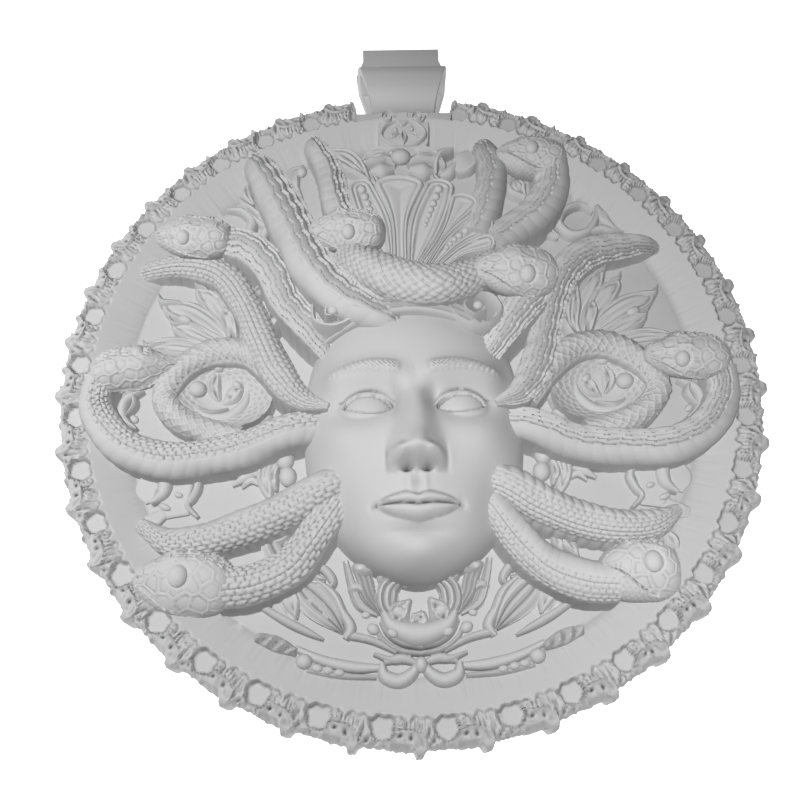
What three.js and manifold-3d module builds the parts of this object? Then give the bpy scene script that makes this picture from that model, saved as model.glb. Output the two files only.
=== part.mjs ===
// A cast gorgon medallion, 80 mm across, lying on its flat back with the relief facing up.
// The casting is one piece: a disc with a shell-crested rim, a face among snakes, a palmette
// crest, leaves, scrolls and ribbons. A smooth strap bail is let into its back behind a notch
// at the top. Millimetres, +Z out of the relief, +Y towards the bail. The origin is the
// centre of the disc's back.
import * as THREE from 'three';
import { mergeVertices } from 'three/addons/utils/BufferGeometryUtils.js';
import Module from 'manifold-3d';

const wasm = await Module();
wasm.setup();

// The disc and its rim
const DISC_RADIUS = 40;
const DISC_THICKNESS = 3.2;
const GROUND_RADIUS = DISC_RADIUS - 7.7;
const BAND_RADIUS = DISC_RADIUS - 4.6;
const BAND_RISE = 2.1;
const EDGE_RADIUS = DISC_RADIUS - 0.8;
const EDGE_RISE = 1.7;
const CREST_RADIUS = DISC_RADIUS - 2.1;
const RIM_RISE = 2.5;
const SHELL_COUNT = 37;
const SHELL_LIFT = 0.4;
const PIT_RING_RADIUS = DISC_RADIUS - 3.3;
const PIT_DEPTH = 0.8;

// The notch at the top of the rim, and the bail behind it
const NOTCH_WIDTH = 12.4;
const NOTCH_FLOOR = DISC_RADIUS - 3.35;
const JOINT_GAP = 0.35;
const BAIL_NECK_WIDTH = 7.8;
const BAIL_SHOULDER_WIDTH = 12.1;
const BAIL_TOP_WIDTH = 10.3;
const BAIL_STRAP = 1;
const BAIL_PLATE = 1.2;
const BAIL_PASSAGE_LENGTH = 5;
const BAIL_PASSAGE_HEIGHT = 5;
const BAIL_TAB = 7;
const BAIL_TAIL = 3.6;
const BAIL_CORNER = 2.6;

// The head: half its width at the cheeks, and how far it stands out of the ground
const FACE_HALF_WIDTH = 12;
const FACE_DEPTH = 9.4;
const EYE_LINE = -5.9;

// Where the carving is sunk into the ground, so that every piece is cast with the disc
const ROOT = 0.4;

const CAST = new THREE.MeshStandardMaterial({ color: 0xb9b9b9, roughness: 0.62, metalness: 0 });
const STRAP = new THREE.MeshStandardMaterial({ color: 0xb4b4b4, roughness: 0.55, metalness: 0 });

// The free carving is laid out in hundredths of its field, a circle a little wider than the
// disc with its centre a little above the disc's, and from the ground up.
const FIELD_RADIUS = DISC_RADIUS * 1.019;
const FIELD_CENTRE = 0.82;
const HUNDREDTH = FIELD_RADIUS / 100;

function place(u, v, height) {
  return new THREE.Vector3(u * HUNDREDTH, FIELD_CENTRE + v * HUNDREDTH, DISC_THICKNESS + height * HUNDREDTH);
}

// Solids from closed geometry, and back
function bare(geometry) {
  geometry.deleteAttribute('normal');
  geometry.deleteAttribute('uv');
  const merged = mergeVertices(geometry, 1e-4);
  const corners = Array.from(merged.index.array);
  const kept = corners.filter((_, i) => {
    const [a, b, c] = corners.slice(i - (i % 3), i - (i % 3) + 3);
    return a !== b && b !== c && c !== a;
  });
  merged.setIndex(kept);
  return merged;
}

function solid(geometry) {
  const closed = geometry.attributes.uv ? bare(geometry) : geometry;
  return new wasm.Manifold(new wasm.Mesh({
    numProp: 3,
    vertProperties: new Float32Array(closed.attributes.position.array),
    triVerts: new Uint32Array(closed.index.array),
  }));
}

function meshOf(manifold, name, material) {
  const { vertProperties, triVerts } = manifold.getMesh();
  const geometry = new THREE.BufferGeometry();
  geometry.setAttribute('position', new THREE.BufferAttribute(vertProperties, 3));
  geometry.setIndex(new THREE.BufferAttribute(triVerts, 1));
  geometry.computeVertexNormals();
  const mesh = new THREE.Mesh(geometry, material);
  mesh.name = name;
  return mesh;
}

// Moves every vertex of a closed geometry to where a rule puts it
function shaped(geometry, rule) {
  const closed = bare(geometry);
  const spots = closed.attributes.position;
  const spot = new THREE.Vector3();
  for (let i = 0; i < spots.count; i += 1) {
    rule(spot.fromBufferAttribute(spots, i));
    spots.setXYZ(i, spot.x, spot.y, spot.z);
  }
  return closed;
}

// A tapering strand along a smooth route of [u, v, height, half width]. Its section is an
// ellipse above and, where it is rooted, a straight wall down into the ground.
function strand(route, { sides = 6, rings = 1.4, flat = 1, rooted = true } = {}) {
  const line = new THREE.CatmullRomCurve3(route.map(([u, v, height]) => place(u, v, height)));
  const last = route.length - 1;
  const up = new THREE.Vector3();
  const side = new THREE.Vector3();
  const tube = new THREE.CylinderGeometry(1, 1, 1, sides, Math.round(rings * last));
  return solid(shaped(tube, (spot) => {
    const t = THREE.MathUtils.clamp(spot.y + 0.5, 0, 1);
    const from = Math.min(Math.floor(t * last), last - 1);
    const half = THREE.MathUtils.lerp(route[from][3], route[from + 1][3], t * last - from);
    const tangent = line.getTangent(t);
    side.crossVectors(tangent, new THREE.Vector3(0, 0, 1)).normalize();
    up.crossVectors(side, tangent);
    const across = spot.x * half * HUNDREDTH;
    const rise = spot.z * half * HUNDREDTH * flat;
    spot.copy(line.getPoint(t)).addScaledVector(side, across).addScaledVector(up, rise);
    if (rooted && rise < -1e-6) spot.z = DISC_THICKNESS - ROOT;
  }));
}

// A ball, egg or bead at a place, in hundredths
function ball(u, v, height, [along, across, tall], turn = 0, [wide, high] = [6, 4]) {
  const egg = new THREE.SphereGeometry(1, wide, high);
  egg.rotateX(Math.PI / 2);
  egg.scale(along * HUNDREDTH, across * HUNDREDTH, tall * HUNDREDTH);
  egg.rotateZ(turn);
  const { x, y, z } = place(u, v, height);
  egg.translate(x, y, z);
  return solid(egg);
}

// A flat scroll: a spiral route that closes in on its centre
function scroll(u, v, height, reach, { turns = 1.25, start = 0, hand = 1, half = 1.6 } = {}) {
  const points = Math.ceil(turns * 5) + 1;
  return Array.from({ length: points }, (_, i) => {
    const share = i / (points - 1);
    const angle = start + hand * share * turns * 2 * Math.PI;
    const radius = reach * (1 - 0.8 * share);
    return [u + radius * Math.cos(angle), v + radius * Math.sin(angle), height, half * (1 - 0.35 * share)];
  });
}

// Disc, band and rim, turned as one profile. Round the rim the profile swells and dips once
// for each shell: its tip pokes out at the edge, its back is a crest, and a pit lies between
// it and the next.
function disc() {
  const top = DISC_THICKNESS;
  const crest = top + RIM_RISE;
  const profile = [
    [GROUND_RADIUS - 1, top],
    [GROUND_RADIUS - 1, 0],
    [EDGE_RADIUS, 0],
    [EDGE_RADIUS, top + EDGE_RISE],
    [CREST_RADIUS, crest],
    [PIT_RING_RADIUS, crest],
    [BAND_RADIUS, top + BAND_RISE],
    [GROUND_RADIUS, top],
    [GROUND_RADIUS - 1, top],
  ].map(([r, z]) => new THREE.Vector2(r, z));
  const turned = new THREE.LatheGeometry(profile, SHELL_COUNT * 4);
  turned.rotateX(Math.PI / 2);
  const ground = new THREE.CylinderGeometry(GROUND_RADIUS - 0.4, GROUND_RADIUS - 0.4, top, 18);
  ground.rotateX(Math.PI / 2);
  ground.translate(0, 0, top / 2);
  const rim = solid(shaped(turned, (spot) => {
    const radius = Math.hypot(spot.x, spot.y);
    const turn = Math.atan2(spot.x, spot.y) / (2 * Math.PI);
    const phase = 2 * Math.PI * (turn * SHELL_COUNT - 0.5);
    const tip = Math.max(0, Math.cos(phase));
    const gap = Math.max(0, -Math.cos(phase));
    const back = Math.max(0, Math.sin(phase));
    if (radius > EDGE_RADIUS - 0.01) {
      const poke = 1 + (tip * (DISC_RADIUS - EDGE_RADIUS)) / radius;
      spot.x *= poke;
      spot.y *= poke;
    } else if (radius > CREST_RADIUS - 0.01 && spot.z > top) {
      spot.z += SHELL_LIFT * (back - gap * 0.5);
    } else if (radius > PIT_RING_RADIUS - 0.01 && spot.z > top) {
      spot.z += SHELL_LIFT * back - PIT_DEPTH * gap;
    }
  }));
  return rim.add(solid(ground));
}

// The face. It is worked in shares of its half width: x to the side, y up from the eye line.
const CHIN = -1.48;
const CROWN = 1.25;

function bump(x, y, wide, tall) {
  return Math.exp(-((x / wide) ** 2) - ((y / tall) ** 2));
}

function faceRelief(x, y) {
  const aside = Math.abs(x);
  const eye = bump(aside - 0.42, y, 0.2, 0.1) * 0.1 - bump(aside - 0.4, y - 0.02, 0.3, 0.19) * 0.15;
  const brow = bump(aside - 0.4, y - 0.34 + 0.12 * (aside - 0.4) ** 2, 0.32, 0.1) * 0.05;
  const bridge = THREE.MathUtils.smoothstep(-y, -0.34, 0.5);
  const noseHalf = 0.1 + 0.09 * bridge;
  const nose = (0.08 + 0.3 * bridge) * Math.exp(-((aside / noseHalf) ** 2.4));
  const noseShown = THREE.MathUtils.smoothstep(y, -0.68, -0.52) * THREE.MathUtils.smoothstep(-y, -0.4, -0.1);
  const wing = bump(aside - 0.17, y + 0.52, 0.08, 0.09) * 0.12;
  const upperLip = bump(aside, y + 0.84, 0.26, 0.065) * 0.1;
  const lowerLip = bump(aside, y + 0.98, 0.22, 0.07) * 0.11;
  const mouth = -bump(aside, y + 0.905, 0.28, 0.03) * 0.05;
  const chin = bump(aside, y + 1.3, 0.26, 0.15) * 0.09 - bump(aside, y + 1.12, 0.3, 0.06) * 0.04;
  const cheek = bump(aside - 0.58, y + 0.34, 0.28, 0.24) * 0.06;
  return eye + brow + nose * noseShown + wing + upperLip + lowerLip + mouth + chin + cheek;
}

function face() {
  const egg = new THREE.SphereGeometry(1, 20, 22);
  const middle = DISC_THICKNESS - ROOT;
  return solid(shaped(egg, (spot) => {
    const y = CROWN - (CROWN - CHIN) * (Math.acos(THREE.MathUtils.clamp(spot.y, -1, 1)) / Math.PI);
    const around = Math.atan2(spot.x, spot.z) / Math.PI;
    const azimuth = Math.sign(around) * Math.abs(around) ** 1.35 * Math.PI;
    const wide = y < -0.1
      ? (1 - Math.min(1, ((-0.1 - y) / (-0.1 - CHIN)) ** 2.3)) ** 0.62
      : (1 - Math.min(1, (Math.max(0, y - 0.1) / (CROWN - 0.1)) ** 2.6)) ** 0.5;
    const deep = y < 0
      ? (1 - 0.1 * (y / CHIN)) * (1 - Math.min(1, (y / CHIN) ** 9)) ** 0.5
      : (1 - Math.min(1, (y / CROWN) ** 4)) ** 0.5;
    const x = wide * Math.sin(azimuth);
    const front = Math.cos(azimuth);
    const depth = front > 0
      ? FACE_DEPTH * deep * front ** 0.8 + FACE_HALF_WIDTH * faceRelief(x, y) * Math.min(1, front * 3)
      : 0;
    spot.set(x * FACE_HALF_WIDTH, EYE_LINE + y * FACE_HALF_WIDTH, middle + ROOT * Math.min(1, front * 4 + 1) + depth);
    if (front <= 0) spot.z = middle;
  }));
}

// A snake's head: wide at the jaws, a blunt snout, an eye on each side. It lies from its neck
// to its snout and is rolled onto its side, so that one eye looks out of the relief.
const ROLL = 1.1;

function snakeHead(neck, snout, half, tall) {
  const from = place(...neck);
  const to = place(...snout);
  const forward = to.clone().sub(from);
  const length = forward.length() / 2;
  forward.normalize();
  const up = new THREE.Vector3(0, Math.sin(ROLL), Math.cos(ROLL));
  const side = new THREE.Vector3().crossVectors(forward, up).normalize();
  up.crossVectors(side, forward);
  const middle = from.clone().add(to).multiplyScalar(0.5);
  const basis = new THREE.Matrix4().makeBasis(side, forward, up).setPosition(middle);
  const skull = shaped(new THREE.SphereGeometry(1, 8, 7), (spot) => {
    const jaw = 1 - 0.3 * THREE.MathUtils.smoothstep(spot.y, 0, 1);
    const blunt = jaw * Math.max(Math.hypot(spot.x, spot.z), 0.2) ** -0.35;
    spot.set(spot.x * blunt * half * HUNDREDTH, spot.y * length, spot.z * blunt * tall * HUNDREDTH);
    spot.applyMatrix4(basis);
  });
  const eyes = [-1, 1].map((which) => shaped(new THREE.SphereGeometry(1, 5, 3), (spot) => {
    spot.multiplyScalar(half * 0.27 * HUNDREDTH);
    spot.add(new THREE.Vector3(which * half * 0.84 * HUNDREDTH, length * 0.14, tall * 0.12 * HUNDREDTH));
    spot.applyMatrix4(basis);
  }));
  return [skull, ...eyes].map(solid);
}

// The snakes' bodies, each a route of [u, v, height, half width]
const bodies = [
  [[-54, 39, 12, 5], [-45, 36, 11, 4.8], [-38, 28, 11, 4.8], [-34, 18, 12, 4.5], [-28, 10, 13, 4], [-22, 3, 10, 3.4]],
  [[-74, 34, 3, 2.8], [-63, 34, 5, 3.8], [-53, 30, 6, 4.2], [-46, 20, 7, 4.2], [-41, 8, 9, 4.5],
    [-36, -3, 11, 4.5], [-29, -12, 14, 3], [-22, -15, 16.5, 0.8]],
  [[-43, 66, 5, 5], [-36, 50, 9, 6.2], [-31, 37, 13, 6.2], [-26, 25, 17, 6], [-18, 15, 19, 5.5],
    [-9, 10, 19, 4.5], [0, 7, 14, 3.6]],
  [[-29, 81, -2, 3.2], [-23, 66, 6, 4], [-21, 54, 9, 4.2], [-18, 43, 12, 4.2]],
  [[-18, 30, 17, 3.5], [-12, 24, 20, 5.5], [-3, 18, 23, 5.8], [6, 16, 24, 5.5], [13, 18, 22, 5],
    [22, 24, 19, 4.5]],
  [[35, 22, 15, 4.6], [33, 17, 15, 4.6], [28, 11, 16, 4.5], [23, 4, 15, 3.6], [17, -3, 10, 3]],
  [[44, 64, 9, 5], [43, 57, 9, 5.2], [38, 48, 9, 5.2], [31, 42, 10, 4.8], [24, 36, 12, 4]],
  [[24, 80, -2, 3.2], [26, 63, 8, 4.2], [24, 53, 10, 4.5], [22, 46, 11, 4.5], [19, 38, 12, 4]],
  [[75, 39, -1, 1.4], [62, 38, 5, 3.8], [51, 35, 6, 4.6], [44, 28, 7, 4.5], [40, 19, 8, 4.2],
    [37, 9, 9, 4.2], [34, -1, 11, 4.5], [28, -11, 14, 3.2], [21, -15, 16.5, 0.8]],
  [[84, -2, 8, 4], [84, -10, 6, 4.6], [78, -19, 6, 4.8], [67, -24, 6, 5], [55, -24, 6, 5],
    [43, -23, 7, 5], [31, -19, 10, 4.5], [22, -17, 8, 4]],
  [[-84, -2, 8, 4], [-85, -10, 6, 4.6], [-78, -20, 6, 4.8], [-67, -25, 6, 5], [-57, -25, 6, 5],
    [-45, -23, 7, 5], [-32, -19, 10, 4.5], [-22, -17, 8, 4]],
  [[-13, -32, 8, 4], [-22, -35, 12, 4.5], [-32, -40, 10, 4.8], [-43, -44, 8, 4.6], [-54, -47, 7, 4.2],
    [-63, -47, 6, 3.4], [-71, -42, 5, 1.8]],
  [[-50, -60, 10, 5], [-41, -59, 9, 5], [-32, -55, 9, 4.8], [-27, -49, 10, 4.5], [-22, -42, 11, 4], [-17, -34, 8, 3.6]],
  [[13, -32, 8, 4], [22, -35, 12, 4.5], [31, -40, 10, 4.8], [41, -44, 8, 4.6], [52, -46, 7, 4.2],
    [61, -45, 6, 3.4], [68, -41, 5, 1.4]],
  [[15, -34, 8, 3.6], [20, -42, 11, 4], [25, -49, 10, 4.5], [32, -56, 9, 5], [41, -60, 10, 5.2], [49, -61, 11, 5]],
];

// The ring that one body makes on each side, beside the cheek
const ring = [[30, -12, 10, 3], [37, -2, 9, 3.8], [45, 5, 7, 4], [54, 6, 6, 4], [63, 1, 6, 3.6],
  [67, -7, 6, 3.4], [63, -13, 6, 3.4], [55, -17, 6, 3.2], [46, -19, 6, 2.8]];

// The heads: neck end, snout end, half width and half height
const heads = [
  [[-49.6, 38.2, 12], [-71.6, 40.2, 12], 6.4, 6],
  [[47.8, 64.1, 10], [26.9, 68.6, 9], 6.6, 6.2],
  [[-6.4, 35.1, 19], [-27.7, 37, 18], 6.2, 6],
  [[39, 20.9, 18], [17, 20.5, 25], 6.8, 6.9],
  [[86, -0.3, 9], [63, 1.2, 10], 6.2, 6.3],
  [[-86.4, -1.4, 9], [-62.8, 2, 8], 5.4, 5.8],
  [[-45.2, -60, 9], [-70.3, -56.8, 9], 6.8, 7.8],
  [[63.9, -58.3, 10], [44, -58.3, 11], 7, 7.7],
];

function mirrored(route) {
  return route.map(([u, ...rest]) => [-u, ...rest]);
}

function snakes() {
  const all = [...bodies, ring, mirrored(ring)].map((route) => strand(route));
  return [...all, ...heads.flatMap((head) => snakeHead(...head))];
}

// The palmette crest: lobes that fan from one foot, some with a row of beads
const PALMETTE_FOOT = [2, 27];
const lobes = [
  { angle: -46, length: 27, half: 5 },
  { angle: -29, length: 37, half: 5.6, beads: 3 },
  { angle: -6, length: 34, half: 8 },
  { angle: 14, length: 34, half: 6, beads: 3 },
  { angle: 30, length: 30, half: 5.4 },
  { angle: 52, length: 27, half: 5, beads: 3 },
  { angle: 70, length: 23, half: 4 },
];

function palmette() {
  const [footU, footV] = PALMETTE_FOOT;
  return lobes.flatMap(({ angle, length, half, beads = 0 }, order) => {
    const lean = THREE.MathUtils.degToRad(angle);
    const at = (share) => [footU + length * share * Math.sin(lean), footV + length * share * Math.cos(lean)];
    const height = 13 + 0.5 * (order % 2);
    const lobe = strand([
      [...at(0), height, 1.3],
      [...at(0.45), height, half * 0.6],
      [...at(0.8), height, half],
      [...at(0.95), height, half * 0.8],
      [...at(1), height, half * 0.35],
    ], { flat: 0.35, rings: 1 });
    const row = Array.from({ length: beads }, (_, i) => {
      const size = half * (0.32 - 0.045 * i);
      return ball(...at(0.8 - 0.12 * i), height + half * 0.26, [size, size, size], 0, [5, 3]);
    });
    return [lobe, ...row];
  });
}

// A leaf: pointed lobes that fan from one foot, with a deep notch between neighbours
function leaf(foot, tips, { height = 3.5, notch = 0.5 } = {}) {
  const [footU, footV] = foot;
  const outline = tips.flatMap(([u, v], i) => {
    const next = tips[i + 1];
    if (!next) return [[u, v]];
    const inU = THREE.MathUtils.lerp(footU, (u + next[0]) / 2, notch);
    const inV = THREE.MathUtils.lerp(footV, (v + next[1]) / 2, notch);
    return [[u, v], [inU, inV]];
  });
  const shape = new THREE.Shape([foot, ...outline].map(([u, v]) => place(u, v, 0)));
  const blade = new THREE.ExtrudeGeometry(shape, { depth: ROOT + height * HUNDREDTH, bevelEnabled: false });
  blade.translate(0, 0, DISC_THICKNESS - ROOT);
  return solid(blade);
}

// The carving that both sides of the ground have
function sideOrnament(hand) {
  const over = ([u, v, ...rest]) => [u * hand, v, ...rest];
  const acanthus = leaf(over([47, 11]), [[45, 28], [49, 25], [56, 30], [61, 25], [71, 20], [67, 12]].map(over));
  const rosette = strand(scroll(53.5 * hand, -7, 4, 8, { turns: 1.4, hand: -hand, start: 1.6, half: 1.7 }),
    { sides: 4, rings: 1 });
  const drops = [
    ball(33 * hand, -27, 2, [2.8, 3.4, 3]),
    ball(33 * hand, -32.5, 2, [2.8, 3.4, 3]),
    leaf(over([36, -24]), [[48, -31], [38, -38]].map(over), { height: 3 }),
  ];
  const hook = strand(scroll(68 * hand, -29, 2.5, 6, { turns: 0.6, hand: -hand, start: 1.6, half: 1.4 }),
    { sides: 4, rings: 1 });
  const lowerLeaf = leaf(over([36, -55]), [[24, -59], [20, -72], [28, -68], [36, -67]].map(over));
  const stem = strand([[21.2, -70.6, 2, 1.2], [13, -71, 2, 1.1], [6, -75, 3, 1.3]].map(over), { sides: 4, rings: 1 });
  const garland = strand([[12, -79, 2, 1.4], [24, -77, 2, 1.8], [34, -74, 2, 1.8], [42, -70, 2, 1]].map(over),
    { sides: 4, rings: 1 });
  const bow = strand([[8, 69, 3, 2], [14, 74, 4, 3], [20, 72, 3, 1]].map(over), { sides: 4, rings: 1 });
  const loop = ball(5 * hand, -78.6, 2.5, [4.6, 2.6, 2.6]);
  const collar = leaf(over([1, -56]), [[19, -54], [15, -66]].map(over), { height: 5 });
  return [acanthus, rosette, ...drops, hook, lowerLeaf, stem, garland, bow, loop, collar];
}

// The carving on the centre line: top panel, knot, brow band with its two volutes, and cup
const PANEL_MIDDLE = 80;
const PANEL_HEIGHT = 1.2;

function centreOrnament() {
  const panel = shaped(new THREE.BoxGeometry(16, 12, 7.5), (spot) => {
    spot.x *= 1 - 0.012 * (6 - spot.y);
    spot.copy(place(spot.x, PANEL_MIDDLE + spot.y, PANEL_HEIGHT + spot.z + 0.12 * spot.y));
  });
  const heart = ball(0, PANEL_MIDDLE - 1, PANEL_HEIGHT + 3.8, [5.4, 5, 2.2], 0, [8, 4]);
  const knot = ball(0, 70.5, 5, [3.6, 2.8, 3]);
  const brow = strand([[-20, 6, 15, 2], [-10, 9, 21, 2], [0, 10, 23, 2], [10, 9, 21, 2], [18, 7, 16, 2]], { rings: 1 });
  const volutes = [-1, 1].map((hand) => strand(
    scroll(19 * hand, 9, 18, 5, { turns: 1.1, hand: -hand, start: 1.6, half: 1.5 }), { sides: 5, rings: 1 }));
  const cup = strand([[0, -58, 5, 5], [0, -64, 6, 7], [0, -70, 6, 6.4], [0, -75, 5, 2]], { flat: 0.5, sides: 8, rings: 1 });
  return [solid(panel), heart, knot, brow, ...volutes, cup];
}

// Everything that is in the way of the bail: the notch through the rim, and the seat in the
// back for the bail's tail
function bailCuts() {
  const deep = DISC_THICKNESS + RIM_RISE + 8;
  const notch = new THREE.BoxGeometry(NOTCH_WIDTH, DISC_RADIUS - NOTCH_FLOOR + 4, deep * 2);
  notch.translate(0, NOTCH_FLOOR + (DISC_RADIUS - NOTCH_FLOOR + 4) / 2, 0);
  const seatLength = BAIL_TAIL + 2 * JOINT_GAP;
  const seatHeight = BAIL_PLATE + JOINT_GAP;
  const seat = new THREE.BoxGeometry(BAIL_NECK_WIDTH + 2 * JOINT_GAP, seatLength + 1, seatHeight * 2);
  seat.translate(0, NOTCH_FLOOR + 1 - (seatLength + 1) / 2, 0);
  return [notch, seat].map(solid);
}

// A pocket that the carving shuts off under itself is solid in a casting, so only the outer
// skin is kept
function filled(cast) {
  const skins = cast.decompose();
  return skins.reduce((best, skin) => (skin.volume() > best.volume() ? skin : best));
}

function medallion() {
  const carving = [face(), ...snakes(), ...palmette(), ...sideOrnament(1), ...sideOrnament(-1), ...centreOrnament()];
  const cast = wasm.Manifold.union([disc(), ...carving]);
  return filled(wasm.Manifold.difference([cast, ...bailCuts()]));
}

// The bail: a rounded loop of strap on a flat back plate. The plate's tail lies in its seat
// behind the rim and its tab stands above the loop. From the front it is waisted.
function bail() {
  const near = NOTCH_FLOOR + JOINT_GAP;
  const far = near + BAIL_PASSAGE_LENGTH + 2 * BAIL_STRAP;
  const top = BAIL_PLATE + BAIL_PASSAGE_HEIGHT + BAIL_STRAP;
  const tab = far + BAIL_TAB;
  // The arch from its far foot to its near one, taken in by a wall
  const arch = (inset) => {
    const corner = (y, from) => new THREE.EllipseCurve(
      y, top - BAIL_CORNER, BAIL_CORNER - inset, BAIL_CORNER - inset, from, from + Math.PI / 2).getPoints(4);
    return [
      new THREE.Vector2(far - inset, BAIL_PLATE),
      ...corner(far - BAIL_CORNER, 0),
      ...corner(near + BAIL_CORNER, Math.PI / 2),
      new THREE.Vector2(near + inset, BAIL_PLATE),
    ];
  };
  const side = new THREE.Shape([
    new THREE.Vector2(near - BAIL_TAIL, 0),
    new THREE.Vector2(tab, 0),
    new THREE.Vector2(tab, BAIL_PLATE),
    ...arch(0),
    new THREE.Vector2(near - BAIL_TAIL, BAIL_PLATE),
  ]);
  // Both profiles are drawn from the side and run across the bail
  const across = (shape, wide) => {
    const bar = new THREE.ExtrudeGeometry(shape, { depth: wide, bevelEnabled: false });
    bar.translate(0, 0, -wide / 2);
    return solid(bar.applyMatrix4(new THREE.Matrix4().makeBasis(
      new THREE.Vector3(0, 1, 0), new THREE.Vector3(0, 0, 1), new THREE.Vector3(1, 0, 0))));
  };
  const strap = across(side, BAIL_SHOULDER_WIDTH + 2);
  const passage = across(new THREE.Shape(arch(BAIL_STRAP)), BAIL_SHOULDER_WIDTH + 4);

  const widths = [
    [near - BAIL_TAIL - 1, BAIL_NECK_WIDTH],
    [near, BAIL_NECK_WIDTH],
    [far, BAIL_SHOULDER_WIDTH * 0.96],
    [far + BAIL_TAB * 0.35, BAIL_SHOULDER_WIDTH],
    [far + BAIL_TAB * 0.72, BAIL_TOP_WIDTH],
    [tab + 1, BAIL_TOP_WIDTH],
  ];
  const right = widths.map(([y, wide]) => new THREE.Vector2(wide / 2, y));
  const left = widths.map(([y, wide]) => new THREE.Vector2(-wide / 2, y)).reverse();
  const waist = new THREE.ExtrudeGeometry(new THREE.Shape([...right, ...left]), { depth: top + 2, bevelEnabled: false });
  waist.translate(0, 0, -1);
  return strap.intersect(solid(waist)).subtract(passage);
}

const group = new THREE.Group();
group.add(meshOf(medallion(), 'medallion', CAST));
group.add(meshOf(bail(), 'bail', STRAP));

export default group;
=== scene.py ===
import math

import bpy
import numpy as np
from mathutils import Matrix, Vector


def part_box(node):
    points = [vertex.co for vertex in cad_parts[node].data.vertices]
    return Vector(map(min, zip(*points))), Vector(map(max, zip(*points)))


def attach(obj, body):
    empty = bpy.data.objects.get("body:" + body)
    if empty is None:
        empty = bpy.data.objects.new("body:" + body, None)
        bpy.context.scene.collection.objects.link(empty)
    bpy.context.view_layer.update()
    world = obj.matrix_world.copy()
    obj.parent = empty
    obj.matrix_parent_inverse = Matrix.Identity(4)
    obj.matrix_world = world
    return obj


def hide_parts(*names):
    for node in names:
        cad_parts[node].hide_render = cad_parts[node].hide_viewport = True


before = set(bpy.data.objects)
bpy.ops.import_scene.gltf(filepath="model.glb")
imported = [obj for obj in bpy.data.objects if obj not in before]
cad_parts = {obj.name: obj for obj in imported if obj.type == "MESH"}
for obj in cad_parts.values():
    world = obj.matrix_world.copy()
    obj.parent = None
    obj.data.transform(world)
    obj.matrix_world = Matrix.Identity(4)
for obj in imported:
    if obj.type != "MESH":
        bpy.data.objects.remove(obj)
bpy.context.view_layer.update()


# The disc: the flat ground that the relief stands on, with a sloping band round it and a
# plain flat back. It is the floor of one casting in matt light grey resin, and the band
# still shows the brush strokes of the model that it was cast from.
MM = 0.001
DISC_RADIUS = -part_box("medallion")[0].y
GROUND_Z = 3.2 * MM
GROUND_RADIUS = DISC_RADIUS - 7.7 * MM
BAND_TOP_RADIUS = DISC_RADIUS - 4.6 * MM
BAND_RISE = 2.1 * MM
NOTCH_FLOOR = DISC_RADIUS - 3.35 * MM
NOTCH_HALF = 6.2 * MM
NOTCH_CORNER = math.hypot(NOTCH_HALF, NOTCH_FLOOR)
SEAT = (8.5 * MM, 4.3 * MM, 1.55 * MM)
DISC_COLUMNS = 1184


def add_node(tree, kind, links=None, **settings):
    node = tree.nodes.new(kind)
    for name, value in settings.items():
        if hasattr(node, name):
            setattr(node, name, value)
        else:
            node.inputs[name.replace("_", " ")].default_value = value
    for name, socket in (links or {}).items():
        tree.links.new(socket, node.inputs[name])
    return node


def linear(code):
    shares = [int(code[i:i + 2], 16) / 255 for i in (1, 3, 5)]
    return [c / 12.92 if c <= 0.04045 else ((c + 0.055) / 1.055) ** 2.4 for c in shares] + [1.0]


def matt_cast_resin(name, tone, shade, roughness, grain_mm):
    """Cast grey resin, dusted matt: an even surface with a very fine grain and no gloss, with
    painted shade that darkens its cuts and hollows."""
    material = bpy.data.materials.new(name)
    material.use_nodes = True
    tree = material.node_tree
    skin = tree.nodes["Principled BSDF"]
    place_on = add_node(tree, "ShaderNodeTexCoord").outputs["Object"]
    cloud = add_node(tree, "ShaderNodeTexNoise", {"Vector": place_on}, Scale=1 / (6 * MM), Detail=2.0)
    colour = add_node(tree, "ShaderNodeMixRGB", {"Fac": cloud.outputs["Fac"]},
                      Color1=linear(tone), Color2=linear(shade))
    grain = add_node(tree, "ShaderNodeTexNoise", {"Vector": place_on},
                     Scale=1 / (grain_mm * MM), Detail=3.0)
    bump = add_node(tree, "ShaderNodeBump", {"Height": grain.outputs["Fac"]},
                    Strength=0.25, Distance=0.02 * MM)
    # Painted shade: the colour is darkened where the surface curves inwards (low pointiness), standing in
    # for the shade in the cuts and hollows.
    geometry = add_node(tree, "ShaderNodeNewGeometry")
    hollow = add_node(tree, "ShaderNodeMapRange", {"Value": geometry.outputs["Pointiness"]},
                      From_Min=0.41, From_Max=0.497, To_Min=0.25, To_Max=1.0)
    resin_with_painted_shade = add_node(tree, "ShaderNodeMixRGB",
                     {"Color1": colour.outputs["Color"], "Color2": hollow.outputs["Result"]},
                     blend_type="MULTIPLY", Fac=1.0)
    tree.links.new(resin_with_painted_shade.outputs["Color"], skin.inputs["Base Color"])
    tree.links.new(bump.outputs["Normal"], skin.inputs["Normal"])
    skin.inputs["Roughness"].default_value = roughness
    skin.inputs["IOR"].default_value = 1.5
    skin.inputs["Specular IOR Level"].default_value = 0.25
    return material


cast_resin = matt_cast_resin("matt cast resin", "#b2b2b2", "#aeaeae", 0.75, 0.25)


def grid_faces(rows, columns, first=0, around=False):
    """The quads of a grid of points kept row by row; around closes each row on itself."""
    corner = np.arange(rows * columns).reshape(rows, columns) + first
    ahead = np.roll(corner, -1, axis=1)
    here, there = (corner, ahead) if around else (corner[:, :-1], ahead[:, :-1])
    return np.stack([here[:-1], there[:-1], there[1:], here[1:]], axis=-1).reshape(-1, 4)


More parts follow.
